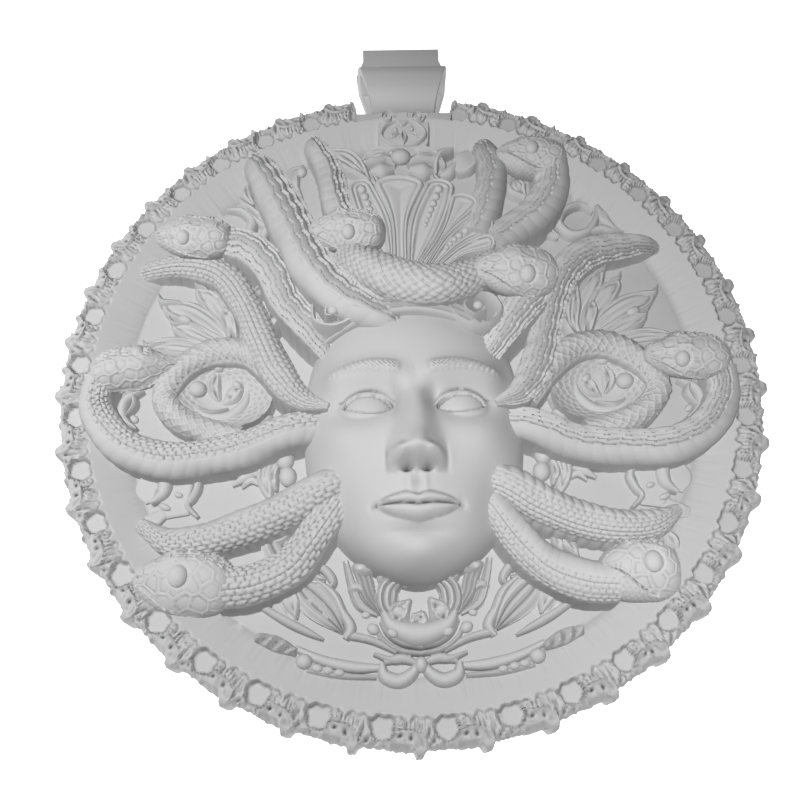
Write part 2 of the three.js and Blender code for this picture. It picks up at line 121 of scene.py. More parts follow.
def closed_skin(rows, columns):
    """Quads of a closed skin of rings, and triangles from its end rings to two end points."""
    ring = np.arange(columns)
    ahead = np.roll(ring, -1)
    last = (rows - 1) * columns
    near = np.stack([ahead, ring, np.full(columns, rows * columns)], axis=-1)
    far = np.stack([last + ring, last + ahead, np.full(columns, rows * columns + 1)], axis=-1)
    return grid_faces(rows, columns, around=True), np.vstack([near, far])


def cast_piece(name, parts, smooth_angle):
    """One mesh of the casting from parts, each (points, quads, triangles), with normals out."""
    points, faces, first = [], [], 0
    for spots, quads, triangles in parts:
        a, b, c = (spots[triangles[:, i]] for i in range(3)) if len(triangles) else (spots[:0],) * 3
        volume = np.einsum("ij,ij->i", a, np.cross(b, c)).sum()
        p, q, r, s = (spots[quads[:, i]] for i in range(4))
        volume += np.einsum("ij,ij->i", p, np.cross(q, r) + np.cross(r, s)).sum()
        turn = slice(None, None, -1) if volume < 0 else slice(None)
        faces += (quads[:, turn] + first).tolist() + (triangles[:, turn] + first).tolist()
        points.append(spots)
        first += len(spots)
    mesh = bpy.data.meshes.new(name)
    mesh.from_pydata(np.vstack(points).tolist(), [], faces)
    piece = bpy.data.objects.new(name, mesh)
    bpy.context.scene.collection.objects.link(piece)
    bpy.ops.object.select_all(action="DESELECT")
    piece.select_set(True)
    bpy.context.view_layer.objects.active = piece
    bpy.ops.object.shade_smooth_by_angle(angle=math.radians(smooth_angle))
    mesh.materials.append(cast_resin)
    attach(piece, "root")
    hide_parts("medallion")
    return piece


def ramp(value, low, high):
    """0 below low, 1 above high and an easy slope between."""
    share = np.clip((value - low) / (high - low), 0, 1)
    return share * share * (3 - 2 * share)


def between(value, low, high, soft):
    return ramp(value, low - soft, low + soft) * (1 - ramp(value, high - soft, high + soft))


def waves(turn, seed, counts, size):
    """A seeded sum of waves round the disc, at most about `size` high."""
    draw = np.random.default_rng(seed)
    total = np.zeros_like(turn)
    for count in counts:
        total += np.sin(turn * count + draw.uniform(0, 2 * math.pi)) * draw.uniform(0.5, 1)
    return total * size / len(counts)


def disc():
    columns = DISC_COLUMNS
    turn = np.arange(columns) * 2 * math.pi / columns
    from_top = np.abs((turn + math.pi) % (2 * math.pi) - math.pi)
    beside_notch = from_top < math.asin(NOTCH_HALF / NOTCH_CORNER)
    outside = np.where(beside_notch, NOTCH_FLOOR / np.cos(turn), NOTCH_CORNER)
    rows = [(np.full(columns, GROUND_RADIUS - 0.25 * MM), np.full(columns, GROUND_Z))]
    for share in np.linspace(0, 1.12, 7):
        radius = GROUND_RADIUS + (BAND_TOP_RADIUS - GROUND_RADIUS) * share
        strokes = waves(turn + 0.004 * share, 5, [233, 311, 389, 467, 541], 0.07 * MM)
        strokes = strokes + waves(turn, 6, [61, 89, 127, 37], 0.07 * MM)
        fade = math.sin(math.pi * min(1, share * 1.1)) ** 0.5
        height = GROUND_Z + BAND_RISE * share ** 0.9 + strokes * fade
        rows.append((np.full(columns, radius), height))

    # Under the rim the disc steps down, so that it stays below the floors of the pits
    step = 0.7 * MM
    rows += [
        (rows[-1][0] + 0.04 * MM, rows[-1][1] - np.where(beside_notch, 0.0, step + 0.2 * MM)),
        (outside, GROUND_Z + BAND_RISE - np.where(beside_notch, 0.0, step)),
        (outside, np.full(columns, 0.0)),
        (np.full(columns, DISC_RADIUS / 2), np.full(columns, 0.0)),
    ]
    spots = np.vstack([np.stack([r * np.sin(turn), r * np.cos(turn), z], -1) for r, z in rows])
    spots = np.vstack([spots, [[0, 0, GROUND_Z], [0, 0, 0]]])
    piece = cast_piece("disc", [(spots, *closed_skin(len(rows), columns))], smooth_angle=40)
    bpy.ops.mesh.primitive_cube_add(size=1, location=(0, NOTCH_FLOOR - SEAT[1] / 2 + 1 * MM, 0))
    seat = bpy.context.object
    seat.scale = (SEAT[0], SEAT[1] + 2 * MM, SEAT[2] * 2)
    cut = piece.modifiers.new("seat", "BOOLEAN")
    cut.operation = "DIFFERENCE"
    cut.object = seat
    bpy.context.view_layer.objects.active = piece
    bpy.ops.object.modifier_apply(modifier=cut.name)
    bpy.data.objects.remove(seat)


disc()


# The rim: thirty-seven shells in a ring, cast with the disc. Each has a knob that pokes out
# at the edge, an arched cap with short teeth on its inner side, and then a shallow round pit
# with a flat floor and torn, ridged walls. Sharp folds climb from there to the next knob.
SHELL_COUNT = 37
SHELL_COLUMNS = 42
RIM_INNER = 34.9 * MM
PIT_RING = 37.2 * MM
TURN_ON = 0.05
PIT_RADIUS = 1.15
PIT_FLOOR = 5.0 * MM
CAP_CREST = 37.35


def ridged(x):
    """A wave of straight-sided ridges, 0 in the grooves and 1 on the crests."""
    return 1 - np.abs(2 * (x % 1) - 1)


def rim_relief(phase, r, turn, own):
    """The rim's skin in millimetres above the back, from the share of a shell clockwise from
    its knob and the radius in millimetres. own gives a shell's own small differences."""
    pitch = 2 * math.pi * PIT_RING / MM / SHELL_COUNT
    along = phase * pitch * r / (PIT_RING / MM)
    signed = np.where(phase > 0.5, phase - 1, phase) * pitch * r / (PIT_RING / MM)
    height = 5.32 + 0.38 * ramp(r, 36.1, 37.2) - 0.6 * ramp(r, 37.9, 39.3)
    torn = turn * (1 + 0.0012 * np.sin(r * 2.1))
    height = height + 0.16 * (ridged(torn * 63.7 + own(5)) - 0.5) * ramp(r, 36.2, 37.0)
    height = height + 0.1 * (ridged(torn * 111.3 + r * 0.4) - 0.5) * ramp(r, 36.0, 36.5)

    # Folds that fan from the knob, on the side away from its cap
    lean = np.arctan2(-signed, 39.9 - r)
    folds = ridged(lean * 2.6 + 0.25 * own(0)) - 0.4
    zone = between(signed, -2.6, -0.15, 0.25) * ramp(r, 36.6, 37.3) * (1 - ramp(r, 39.0, 39.5))
    height = height + 0.42 * folds * zone

    # The pit and the ridges round it, torn open towards the cap and the edge
    pit_at = 0.575 * pitch + 0.1 * own(1)
    away, out = along * PIT_RING / MM / r - pit_at, r - PIT_RING / MM - 0.08 * own(2)
    gone, spoke = np.hypot(away, out), np.arctan2(out, -away)
    open_side = np.exp(-(((spoke - 0.55) / 1.25) ** 4))
    teeth_round = ridged(spoke * 19 / (2 * math.pi) * 1.3 + own(3))
    height = height + (0.34 * open_side * (teeth_round - 0.25)
                       * between(gone, PIT_RADIUS, PIT_RADIUS + 0.75, 0.12))
    lip = PIT_RADIUS * (1 + (0.26 * teeth_round - 0.13) * open_side
                        + 0.06 * np.sin(spoke * 5 + own(4) * 3))
    soft = 0.14 + 0.55 * (1 - open_side) * ramp(-out, -0.4, 0.8) + 0.12 * ridged(spoke * 2.1 + own(2))
    pit = 1 - ramp(gone, lip, lip + soft)

    # The cap: an arch with a sharp raised inner side, a facet cut off its outer side, dents
    across = (signed - 1.3 - 0.12 * own(4)) / 1.95
    crest = CAP_CREST + 0.95 * np.abs(across) ** 2.4 + 0.1 * own(5)
    deep = r - crest
    cap = ramp(deep, -0.04, 0.1) * ramp(1 - np.abs(across), 0.0, 0.08) * (1 - 0.9 * pit)
    skin = 6.0 - 0.28 * deep + 0.12 * np.exp(-(((deep - 0.12) / 0.12) ** 2))
    skin = skin + 0.1 * np.cos(across * 5 + own(0) * 2)
    skin = skin + 0.16 * (ridged(signed * 1.15 + deep * 0.5 + own(3)) - 0.5) * ramp(deep, 0.15, 0.5)
    dents = np.exp(-(((signed - 0.9 - 0.2 * own(1)) / 0.16) ** 2) - ((deep - 0.75) / 0.28) ** 2)
    dents += np.exp(-(((signed - 1.9 - 0.2 * own(2)) / 0.2) ** 2) - ((deep - 0.5) / 0.16) ** 2)
    skin = skin - 0.45 * dents
    facet = between(signed, 0.95 + 0.15 * own(3), 2.75, 0.08) * ramp(r, 38.62, 38.68)
    skin = skin - facet * 1.9 * (r - 38.55)
    height = height * (1 - cap) + skin * cap

    # Short teeth on the cap's inner side
    teeth = ridged((signed - 0.1) / 0.43 + 0.2 * own(0)) ** 0.6
    row = between(signed, -0.25, 1.85, 0.1) * ramp(deep, -0.95, -0.8) * (1 - ramp(deep, -0.2, -0.05))
    height = height + row * (0.36 * teeth - 0.1) * (1 - pit)
    height = height * (1 - pit) + (PIT_FLOOR / MM) * pit

    knob = np.exp(-((signed / 0.48) ** 4) - ((r - 39.25) / 0.75) ** 4)
    return height * (1 - knob) + (5.55 - 0.9 * (r - 39.0) ** 2 * (r > 39.0)) * knob


def rim():
    columns = SHELL_COUNT * SHELL_COLUMNS
    radii = np.concatenate([np.linspace(RIM_INNER, 35.7 * MM, 6)[:-1],
                            np.linspace(35.7 * MM, DISC_RADIUS, 36)])
    share = np.linspace(0, 1, columns)[None, :]
    flat_radii = radii[:, None]
    start = np.arcsin(NOTCH_HALF / flat_radii)
    turn = start + share * (2 * math.pi - 2 * start)
    unit = turn / (2 * math.pi) * SHELL_COUNT - 0.5 - TURN_ON
    which = np.floor(unit + 0.25).astype(int) % SHELL_COUNT
    phase = unit - np.floor(unit)
    jitter = np.random.default_rng(11).uniform(-1, 1, (8, SHELL_COUNT))

    def own(k):
        return jitter[k][which]

    # The ragged edge, its knobs, and the short steep roll down into the outer wall
    signed = np.where(phase > 0.5, phase - 1, phase) * 6.6
    edge = 39.1 + 0.82 * np.exp(-((signed / 0.46) ** 4)) + 0.16 * between(signed, 0.3, 3.0, 0.1)
    edge = edge + 0.16 * (ridged(turn * 41.3) - 0.5) + 0.1 * (ridged(turn * 77.7) - 0.5)
    edge = np.minimum(edge, DISC_RADIUS / MM - 0.06) * MM
    height = rim_relief(phase, flat_radii / MM, turn, own) * MM
    up_band = (flat_radii - GROUND_RADIUS) / (BAND_TOP_RADIUS - GROUND_RADIUS)
    band = GROUND_Z + BAND_RISE * up_band ** 0.9

    # The inner side is a worn lace edge that dies out on the band
    lace = 35.95 * MM + waves(turn, 23, [74, 111, 185, 148], 0.7 * MM)
    blend = ramp(flat_radii, lace, lace + 0.4 * MM)
    height = (band - 0.06 * MM) * (1 - blend) + height * blend
    height = np.where(flat_radii <= RIM_INNER + 1e-6, band - 0.4 * MM, height)
    ragged_radius = np.minimum(flat_radii, edge)
    roll = np.clip((flat_radii - edge + 0.28 * MM) / (0.28 * MM), 0, 1)
    height = height - 0.75 * MM * roll ** 2
    height = np.where(flat_radii > edge, np.minimum(height, 4.3 * MM), height)

    # The outer wall, down to the back, with the shells' backs scooped into it
    rows = list(zip(ragged_radius, turn, height))
    for low in (3.4, 2.2, 1.1, 0.25, 0.0):
        scoop = 0.35 * MM * math.sin(math.pi * min(1, low / 4)) * np.sin(math.pi * phase[-1]) ** 2
        draft = 0.3 * MM if low == 0 else 0.0
        rows.append((edge[-1] - scoop - draft, turn[-1], np.full(columns, low * MM)))
    under = NOTCH_CORNER - 0.05 * MM
    rows.append((np.full(columns, under), turn[0] + (turn[-1] - turn[0]) * 0.5, np.full(columns, 0.0)))
    rows.append((np.full(columns, RIM_INNER), turn[0], np.full(columns, 0.6 * MM)))
    points = np.vstack([np.stack([radius * np.sin(a), radius * np.cos(a), z], -1)
                        for radius, a, z in rows])

    # Along the rim each row runs from one side of the notch to the other, where it is shut
    count = len(rows)
    last = (count - 1) * columns
    here = np.arange(columns - 1)
    shut = np.stack([here + last, here + 1 + last, here + 1, here], -1)
    ends = []
    for column in (0, columns - 1):
        ring = np.arange(count) * columns + column
        points = np.vstack([points, points[ring].mean(0)[None]])
        cap = np.stack([ring, np.roll(ring, -1), np.full(count, len(points) - 1)], -1)
        ends.append(cap if column else cap[:, ::-1])
    quads = np.vstack([grid_faces(count, columns), shut])
    cast_piece("rim", [(points, quads, np.vstack(ends))], smooth_angle=40)


rim()


# The snakes' bodies: tapering coils modelled in clay and cast with the disc, standing on
# straight walls so that the mould lets go of them. One flank of each is cut with scales and
# the other is a smooth belly. A shallow dish lies inside each of the two coils at the sides.
UNIT = 0.4076 * MM
FIELD_CENTRE_Y = 0.82 * MM
ROOT = 0.4 * MM
SKIN_GRAIN = 0.14 * MM
DISH_ROWS = 40
DISH_COLUMNS = 150
DISH_NET = 30


def place(u, v, height):
    """A spot of the carving in hundredths of its field's radius, from its centre and the ground."""
    u, v, height = np.broadcast_arrays(u, v, height)
    return np.stack([u * UNIT, FIELD_CENTRE_Y + v * UNIT, GROUND_Z + height * UNIT], -1)


def smooth_route(route, steps):
    """A smooth line through a route of [u, v, height, half width], and its half widths."""
    knots = np.array(route, float)
    knots = np.vstack([2 * knots[0] - knots[1], knots, 2 * knots[-1] - knots[-2]])
    spot = np.linspace(0, len(route) - 1, steps)
    k = np.minimum(spot.astype(int), len(route) - 2)
    w = (spot - k)[:, None]
    a, b, c, d = (knots[k + i] for i in range(4))
    ab, bc, cd = (np.maximum(np.linalg.norm((q - p)[:, :3], axis=1, keepdims=True), 1e-6) ** 0.5
                  for p, q in ((a, b), (b, c), (c, d)))
    leave = ((b - a) / ab - (c - a) / (ab + bc) + (c - b) / bc) * bc
    arrive = ((c - b) / bc - (d - b) / (bc + cd) + (d - c) / cd) * bc
    turned = (3 * (c - b) - 2 * leave - arrive) * w ** 2
    line = b + leave * w + turned + (2 * (b - c) + leave + arrive) * w ** 3
    return place(*line[:, :3].T), np.maximum(line[:, 3], 0.25) * UNIT


def directions(line):
    """At each point of a line: to its right, up from it, and how far along it is."""
    tangent = np.gradient(line, axis=0)
    tangent /= np.linalg.norm(tangent, axis=1, keepdims=True)
    side = np.cross(tangent, [0, 0, 1])
    side /= np.linalg.norm(side, axis=1, keepdims=True)
    run = np.concatenate([[0], np.cumsum(np.linalg.norm(np.diff(line, axis=0), axis=1))])
    return side, np.cross(side, tangent), run


def rooted(spots):
    """Closes an open skin, row by row from right to left, with walls down into the ground."""
    spots[..., 2] = np.maximum(spots[..., 2], GROUND_Z - 0.8 * ROOT)
    feet = spots[:, [-1, 0]].copy()
    feet[..., 2] = GROUND_Z - ROOT
    rings = np.concatenate([spots, feet], axis=1)
    points = np.vstack([rings.reshape(-1, 3), rings[[0, -1]].mean(1)])
    return (points, *closed_skin(rings.shape[0], rings.shape[1]))


def strand(route, relief, rings, columns):
    """A round-backed strand along a route. relief gives millimetres out of its skin from
    millimetres along, the angle over it from right to left and the half width."""
    line, half = smooth_route(route, rings)
    side, up, run = directions(line)
    angle = np.linspace(0, math.pi, columns)[None, :]
    reach = half[:, None] + relief(run[:, None] / MM, angle, half[:, None] / MM) * MM
    out = side[:, None] * (np.cos(angle) * reach)[..., None]
    return rooted(line[:, None] + out + up[:, None] * (np.sin(angle) * reach)[..., None])


def pillow(x, y, hard=4):
    return (1 - np.abs(2 * x - 1) ** hard) * (1 - np.abs(2 * y - 1) ** hard)


def brick_scales(x, y):
    x = (x + 0.5 * (np.floor(y) % 2)) % 1
    return pillow(x, y % 1, 5) * (0.55 + 0.45 * x)


def diamond_scales(x, y):
    a, b = (x + y / 2) % 1, (x - y / 2) % 1
    return pillow(a, b, 4) * (0.5 + 0.25 * (a + b))


def rope_scales(x, y):
    """Wavy strands that lie over one another like shingles, each with a sharp edge."""
    y = y + 0.36 * ridged(0.4 * x + 0.12 * y)
    return (1 - y % 1) ** 0.8


def net_scales(x, y):
    a, b = (x + y / 2) % 1, (x - y / 2) % 1
    return 1 - pillow(a, b, 8)


def snake_skin(kind, rows, size, scaled, depth=0.34, belly=0.07):
    """Scales of a kind between two angles over the body, and belly ridges on the rest."""
    def relief(run, angle, half):
        low, high = scaled
        y = rows * (angle - low) / (high - low)
        x = run / size + 0.12 * np.sin(y * 2.1 + run * 0.7)
        mask = ramp(angle, low - 0.06, low + 0.06) * (1 - ramp(angle, high - 0.06, high + 0.06))
        slope = np.abs(angle - math.pi / 2)
        ridges = belly * np.abs(np.sin(math.pi * (run / (1.5 * size) + 0.5 * slope))) ** 0.6
        folds = 0.05 * np.sin(run * 0.9 + angle * 3)
        fade = np.minimum(1, half / 1.4)
        return (mask * (depth * kind(x, y) - 0.5 * depth) + (1 - mask) * ridges + folds) * fade
    return relief


bodies = {
    "neck_upper_left": (
        [[-51, 38, 11, 4.4], [-45, 36, 11, 4.8], [-38, 28, 11, 4.8], [-34, 18, 12, 4.5],
         [-28, 10, 13, 4], [-22, 3, 10, 3.4]],
        snake_skin(rope_scales, 7, 0.95, (0.3, 3.1))),
    "tail_upper_left": (
        [[-80, 34, -1, 2.4], [-74, 34, 3, 2.8], [-63, 34, 5, 3.8], [-53, 30, 6, 4.2],
         [-46, 20, 7, 4.2], [-41, 8, 9, 4.5], [-36, -3, 11, 4.5], [-29, -12, 14, 3],
         [-22, -15, 16.5, 0.8]],
        snake_skin(brick_scales, 7, 0.85, (0.35, 3.0))),
    "crest_left": (
        [[-47, 74, -3, 4.6], [-43, 66, 5, 5], [-36, 50, 9, 6.2], [-31, 37, 13, 6.2], [-26, 25, 17, 6],
         [-18, 15, 19, 5.5], [-9, 10, 19, 4.5], [0, 7, 14, 3.6]],
        snake_skin(rope_scales, 5, 1.05, (1.2, 3.1), 0.46)),
    "crest_left_short": (
        [[-29, 81, -3, 3.2], [-27, 75, 4, 3.6], [-23, 66, 6, 4], [-21, 54, 9, 4.2], [-18, 43, 12, 4.2]],
        snake_skin(rope_scales, 4, 1.0, (1.5, 3.1), 0.46)),
    "crossing": (
        [[-18, 30, 17, 3.5], [-12, 24, 20, 5.5], [-3, 18, 23, 5.8], [6, 16, 24, 5.5], [13, 18, 22, 5],
         [22, 24, 19, 4.5]],
        snake_skin(diamond_scales, 13, 0.95, (0.1, 3.05), 0.28)),
    "neck_mid_right": (
        [[35, 22, 15, 4.6], [33, 17, 15, 4.6], [28, 11, 16, 4.5], [23, 4, 15, 3.6], [17, -3, 10, 3]],
        snake_skin(rope_scales, 8, 0.9, (0.2, 3.0))),
    "neck_upper_right": (
        [[43, 65, 10, 5], [43, 57, 9, 5.2], [38, 48, 9, 5.2], [31, 42, 10, 4.8], [24, 36, 12, 4]],
        snake_skin(rope_scales, 5, 1.0, (0.2, 1.8), 0.36)),
    "crest_right": (
        [[24, 80, -3, 3.2], [25, 72, 5, 3.6], [26, 63, 8, 4.2], [24, 53, 10, 4.5], [22, 46, 11, 4.5],
         [19, 38, 12, 4]],
        snake_skin(rope_scales, 4, 1.1, (0.05, 1.6), 0.36)),
    "tail_upper_right": (
        [[75, 39, -1, 1.4], [70, 39, 4, 2.6], [62, 38, 5, 3.8], [51, 35, 6, 4.6], [44, 28, 7, 4.5],
         [40, 19, 8, 4.2], [37, 9, 9, 4.2], [34, -1, 11, 4.5], [28, -11, 14, 3.2],
         [21, -15, 16.5, 0.8]],
        snake_skin(rope_scales, 8, 1.0, (0.1, 3.0), 0.4)),
    "body_right": (
        [[84, -2, 8, 4], [84, -10, 6, 4.6], [78, -19, 6, 4.8], [67, -24, 6, 5], [55, -24, 6, 5],
         [43, -23, 7, 5], [31, -19, 10, 4.5], [22, -17, 8, 4]],
        snake_skin(rope_scales, 5, 1.05, (0.5, 1.85), 0.38)),
    "body_left": (
        [[-84, -2, 8, 4], [-85, -10, 6, 4.6], [-78, -20, 6, 4.8], [-67, -25, 6, 5], [-57, -25, 6, 5],
         [-45, -23, 7, 5], [-32, -19, 10, 4.5], [-22, -17, 8, 4]],
        snake_skin(brick_scales, 5, 0.95, (1.3, 2.6), 0.38)),
    "tail_lower_left": (
        [[-13, -32, 8, 4], [-22, -35, 12, 4.5], [-32, -40, 10, 4.8], [-43, -44, 8, 4.6],
         [-54, -47, 7, 4.2], [-63, -47, 6, 3.4], [-71, -42, 5, 1.8]],
        snake_skin(brick_scales, 7, 1.05, (1.0, 3.1), 0.36)),
    "neck_lower_left": (
        [[-50, -60, 10, 5], [-41, -59, 9, 5], [-32, -55, 9, 4.8], [-27, -49, 10, 4.5],
         [-22, -42, 11, 4], [-17, -34, 8, 3.6]],
        snake_skin(brick_scales, 8, 1.0, (0.3, 2.9), 0.36)),
    "tail_lower_right": (
        [[13, -32, 8, 4], [22, -35, 12, 4.5], [31, -40, 10, 4.8], [41, -44, 8, 4.6],
         [52, -46, 7, 4.2], [61, -45, 6, 3.4], [68, -41, 5, 1.4]],
        snake_skin(brick_scales, 6, 0.8, (0.05, 1.9), 0.26, 0.2)),
    "neck_lower_right": (
        [[15, -34, 8, 3.6], [20, -42, 11, 4], [25, -49, 10, 4.5], [32, -56, 9, 5], [41, -60, 10, 5.2],
         [49, -61, 11, 5]],
        snake_skin(brick_scales, 5, 0.7, (0.1, 1.6), 0.24, 0.05)),
}
ring_route = [[30, -12, 10, 3], [37, -2, 9, 3.8], [45, 5, 7, 4], [54, 6, 6, 4], [63, 1, 6, 3.6],
              [67, -7, 6, 3.4], [63, -13, 6, 3.4], [55, -17, 6, 3.2], [46, -19, 6, 2.8]]
bodies["ring_right"] = (ring_route, snake_skin(net_scales, 6, 1.1, (0.5, 3.1), 0.22))
bodies["ring_left"] = ([[-u, *rest] for u, *rest in ring_route],
                       snake_skin(net_scales, 6, 1.1, (0.1, 2.7), 0.22))


def ring_dish(side):
    """The shallow dish inside a coil, cut with a net that fades towards its middle."""
    turn = np.arange(DISH_COLUMNS)[None, :] * 2 * math.pi / DISH_COLUMNS
    share = np.linspace(0.04, 1, DISH_ROWS)[:, None]
    u = 51.5 + 13.6 * share * np.cos(turn)
    v = -6.0 + 10.2 * share * np.sin(turn) + 1.5 * share * np.cos(turn)
    net = net_scales(share * 7, turn * DISH_NET / (2 * math.pi)) * between(share, 0.55, 1.2, 0.12)
    height = 2.2 + 4.6 * share ** 2.6 + 0.5 * net
    spots = place(side * u, v, height)
    ring = spots[-1].copy()
    ring[:, 2] = GROUND_Z - ROOT
    points = np.vstack([spots.reshape(-1, 3), ring, [spots[0].mean(0)], [ring.mean(0)]])
    return (points, *closed_skin(DISH_ROWS + 1, DISH_COLUMNS))


for name, side in (("dish_right", 1), ("dish_left", -1)):
    cast_piece(name, [ring_dish(side)], smooth_angle=60)

for name, (route, skin) in bodies.items():
    length = directions(smooth_route(route, 200)[0])[2][-1]
    widest = max(knot[3] for knot in route) * UNIT
    rings, columns = int(length / SKIN_GRAIN), int(math.pi * widest / SKIN_GRAIN)
    cast_piece("snake_" + name, [strand(route, skin, rings, columns)], smooth_angle=60)


# The snakes' heads: wide at the jaws with a blunt snout, lying on their sides so that one
# eye looks out. They are cut all over with many-sided plates, with a mouth line, a blank egg
# of an eye under a heavy brow, and ragged overlapping scales along the crown.
HEAD_ROLL = 1.1
HEAD_ROWS = 94
HEAD_COLUMNS = 100
EYE_ROWS = 15
EYE_COLUMNS = 26


def skull(y, turn, taper):
    """Out of the head's axis to its skin, outwards and crownwards, in shares of its half
    sizes: y runs from the neck (-1) to the snout (1), turn from the outer side to the crown."""
    cosine, sine = np.cos(turn), np.sin(turn)
    square = (np.abs(cosine) ** 2.4 + np.abs(sine) ** 2.4) ** (-1 / 2.4)
    snout_end = np.clip(1 - np.clip(y, 0, 1) ** 3.2, 0, 1) ** 0.42
    neck_end = np.clip(1 - np.clip(-y, 0, 1) ** 5, 0, 1) ** 0.4
    slim = 1 - taper * ramp(y, 0.1, 1.0)
    out = (1 - 0.12 * ramp(y, 0.0, 0.6)) * slim
    crown = np.where(sine > 0, 1 - 0.16 * ramp(y, 0.2, 0.9), 0.96 - 0.1 * ramp(y, 0.3, 1.0)) * slim
    crown = crown * (1 - 0.14 * ramp(-y, 0.35, 1.0))
    ends = snout_end * neck_end
    return cosine * square * out * ends, sine * square * crown * ends


def plate_seeds(length, girth, eye_at, eye_gap, seed):
    """Middles of the plates, in millimetres along and round: rows laid like bricks, shaken a
    little, that make way for the eye and a ring of small plates round it."""
    draw = np.random.default_rng(seed)
    seeds = [eye_at]
    size = girth / 11.5
    for k, turned in enumerate(np.arange(-girth / 2, girth / 2, size)):
        for along in np.arange(-length, length, 1.15 * size) + 0.57 * size * (k % 2):
            shaken = along + draw.uniform(-0.26, 0.26) * size
            seeds.append((shaken, turned + draw.uniform(-0.22, 0.22) * size))
    seeds = [s for s in seeds if math.dist(s, eye_at) > eye_gap + 0.75 * size or s == eye_at]
    gone = eye_gap + 0.42
    for k in range(6):
        lean = 2 * math.pi * (k + draw.uniform(-0.2, 0.2)) / 6 + 0.5
        seeds.append((eye_at[0] + gone * math.cos(lean), eye_at[1] + gone * math.sin(lean)))
    return np.array(seeds)


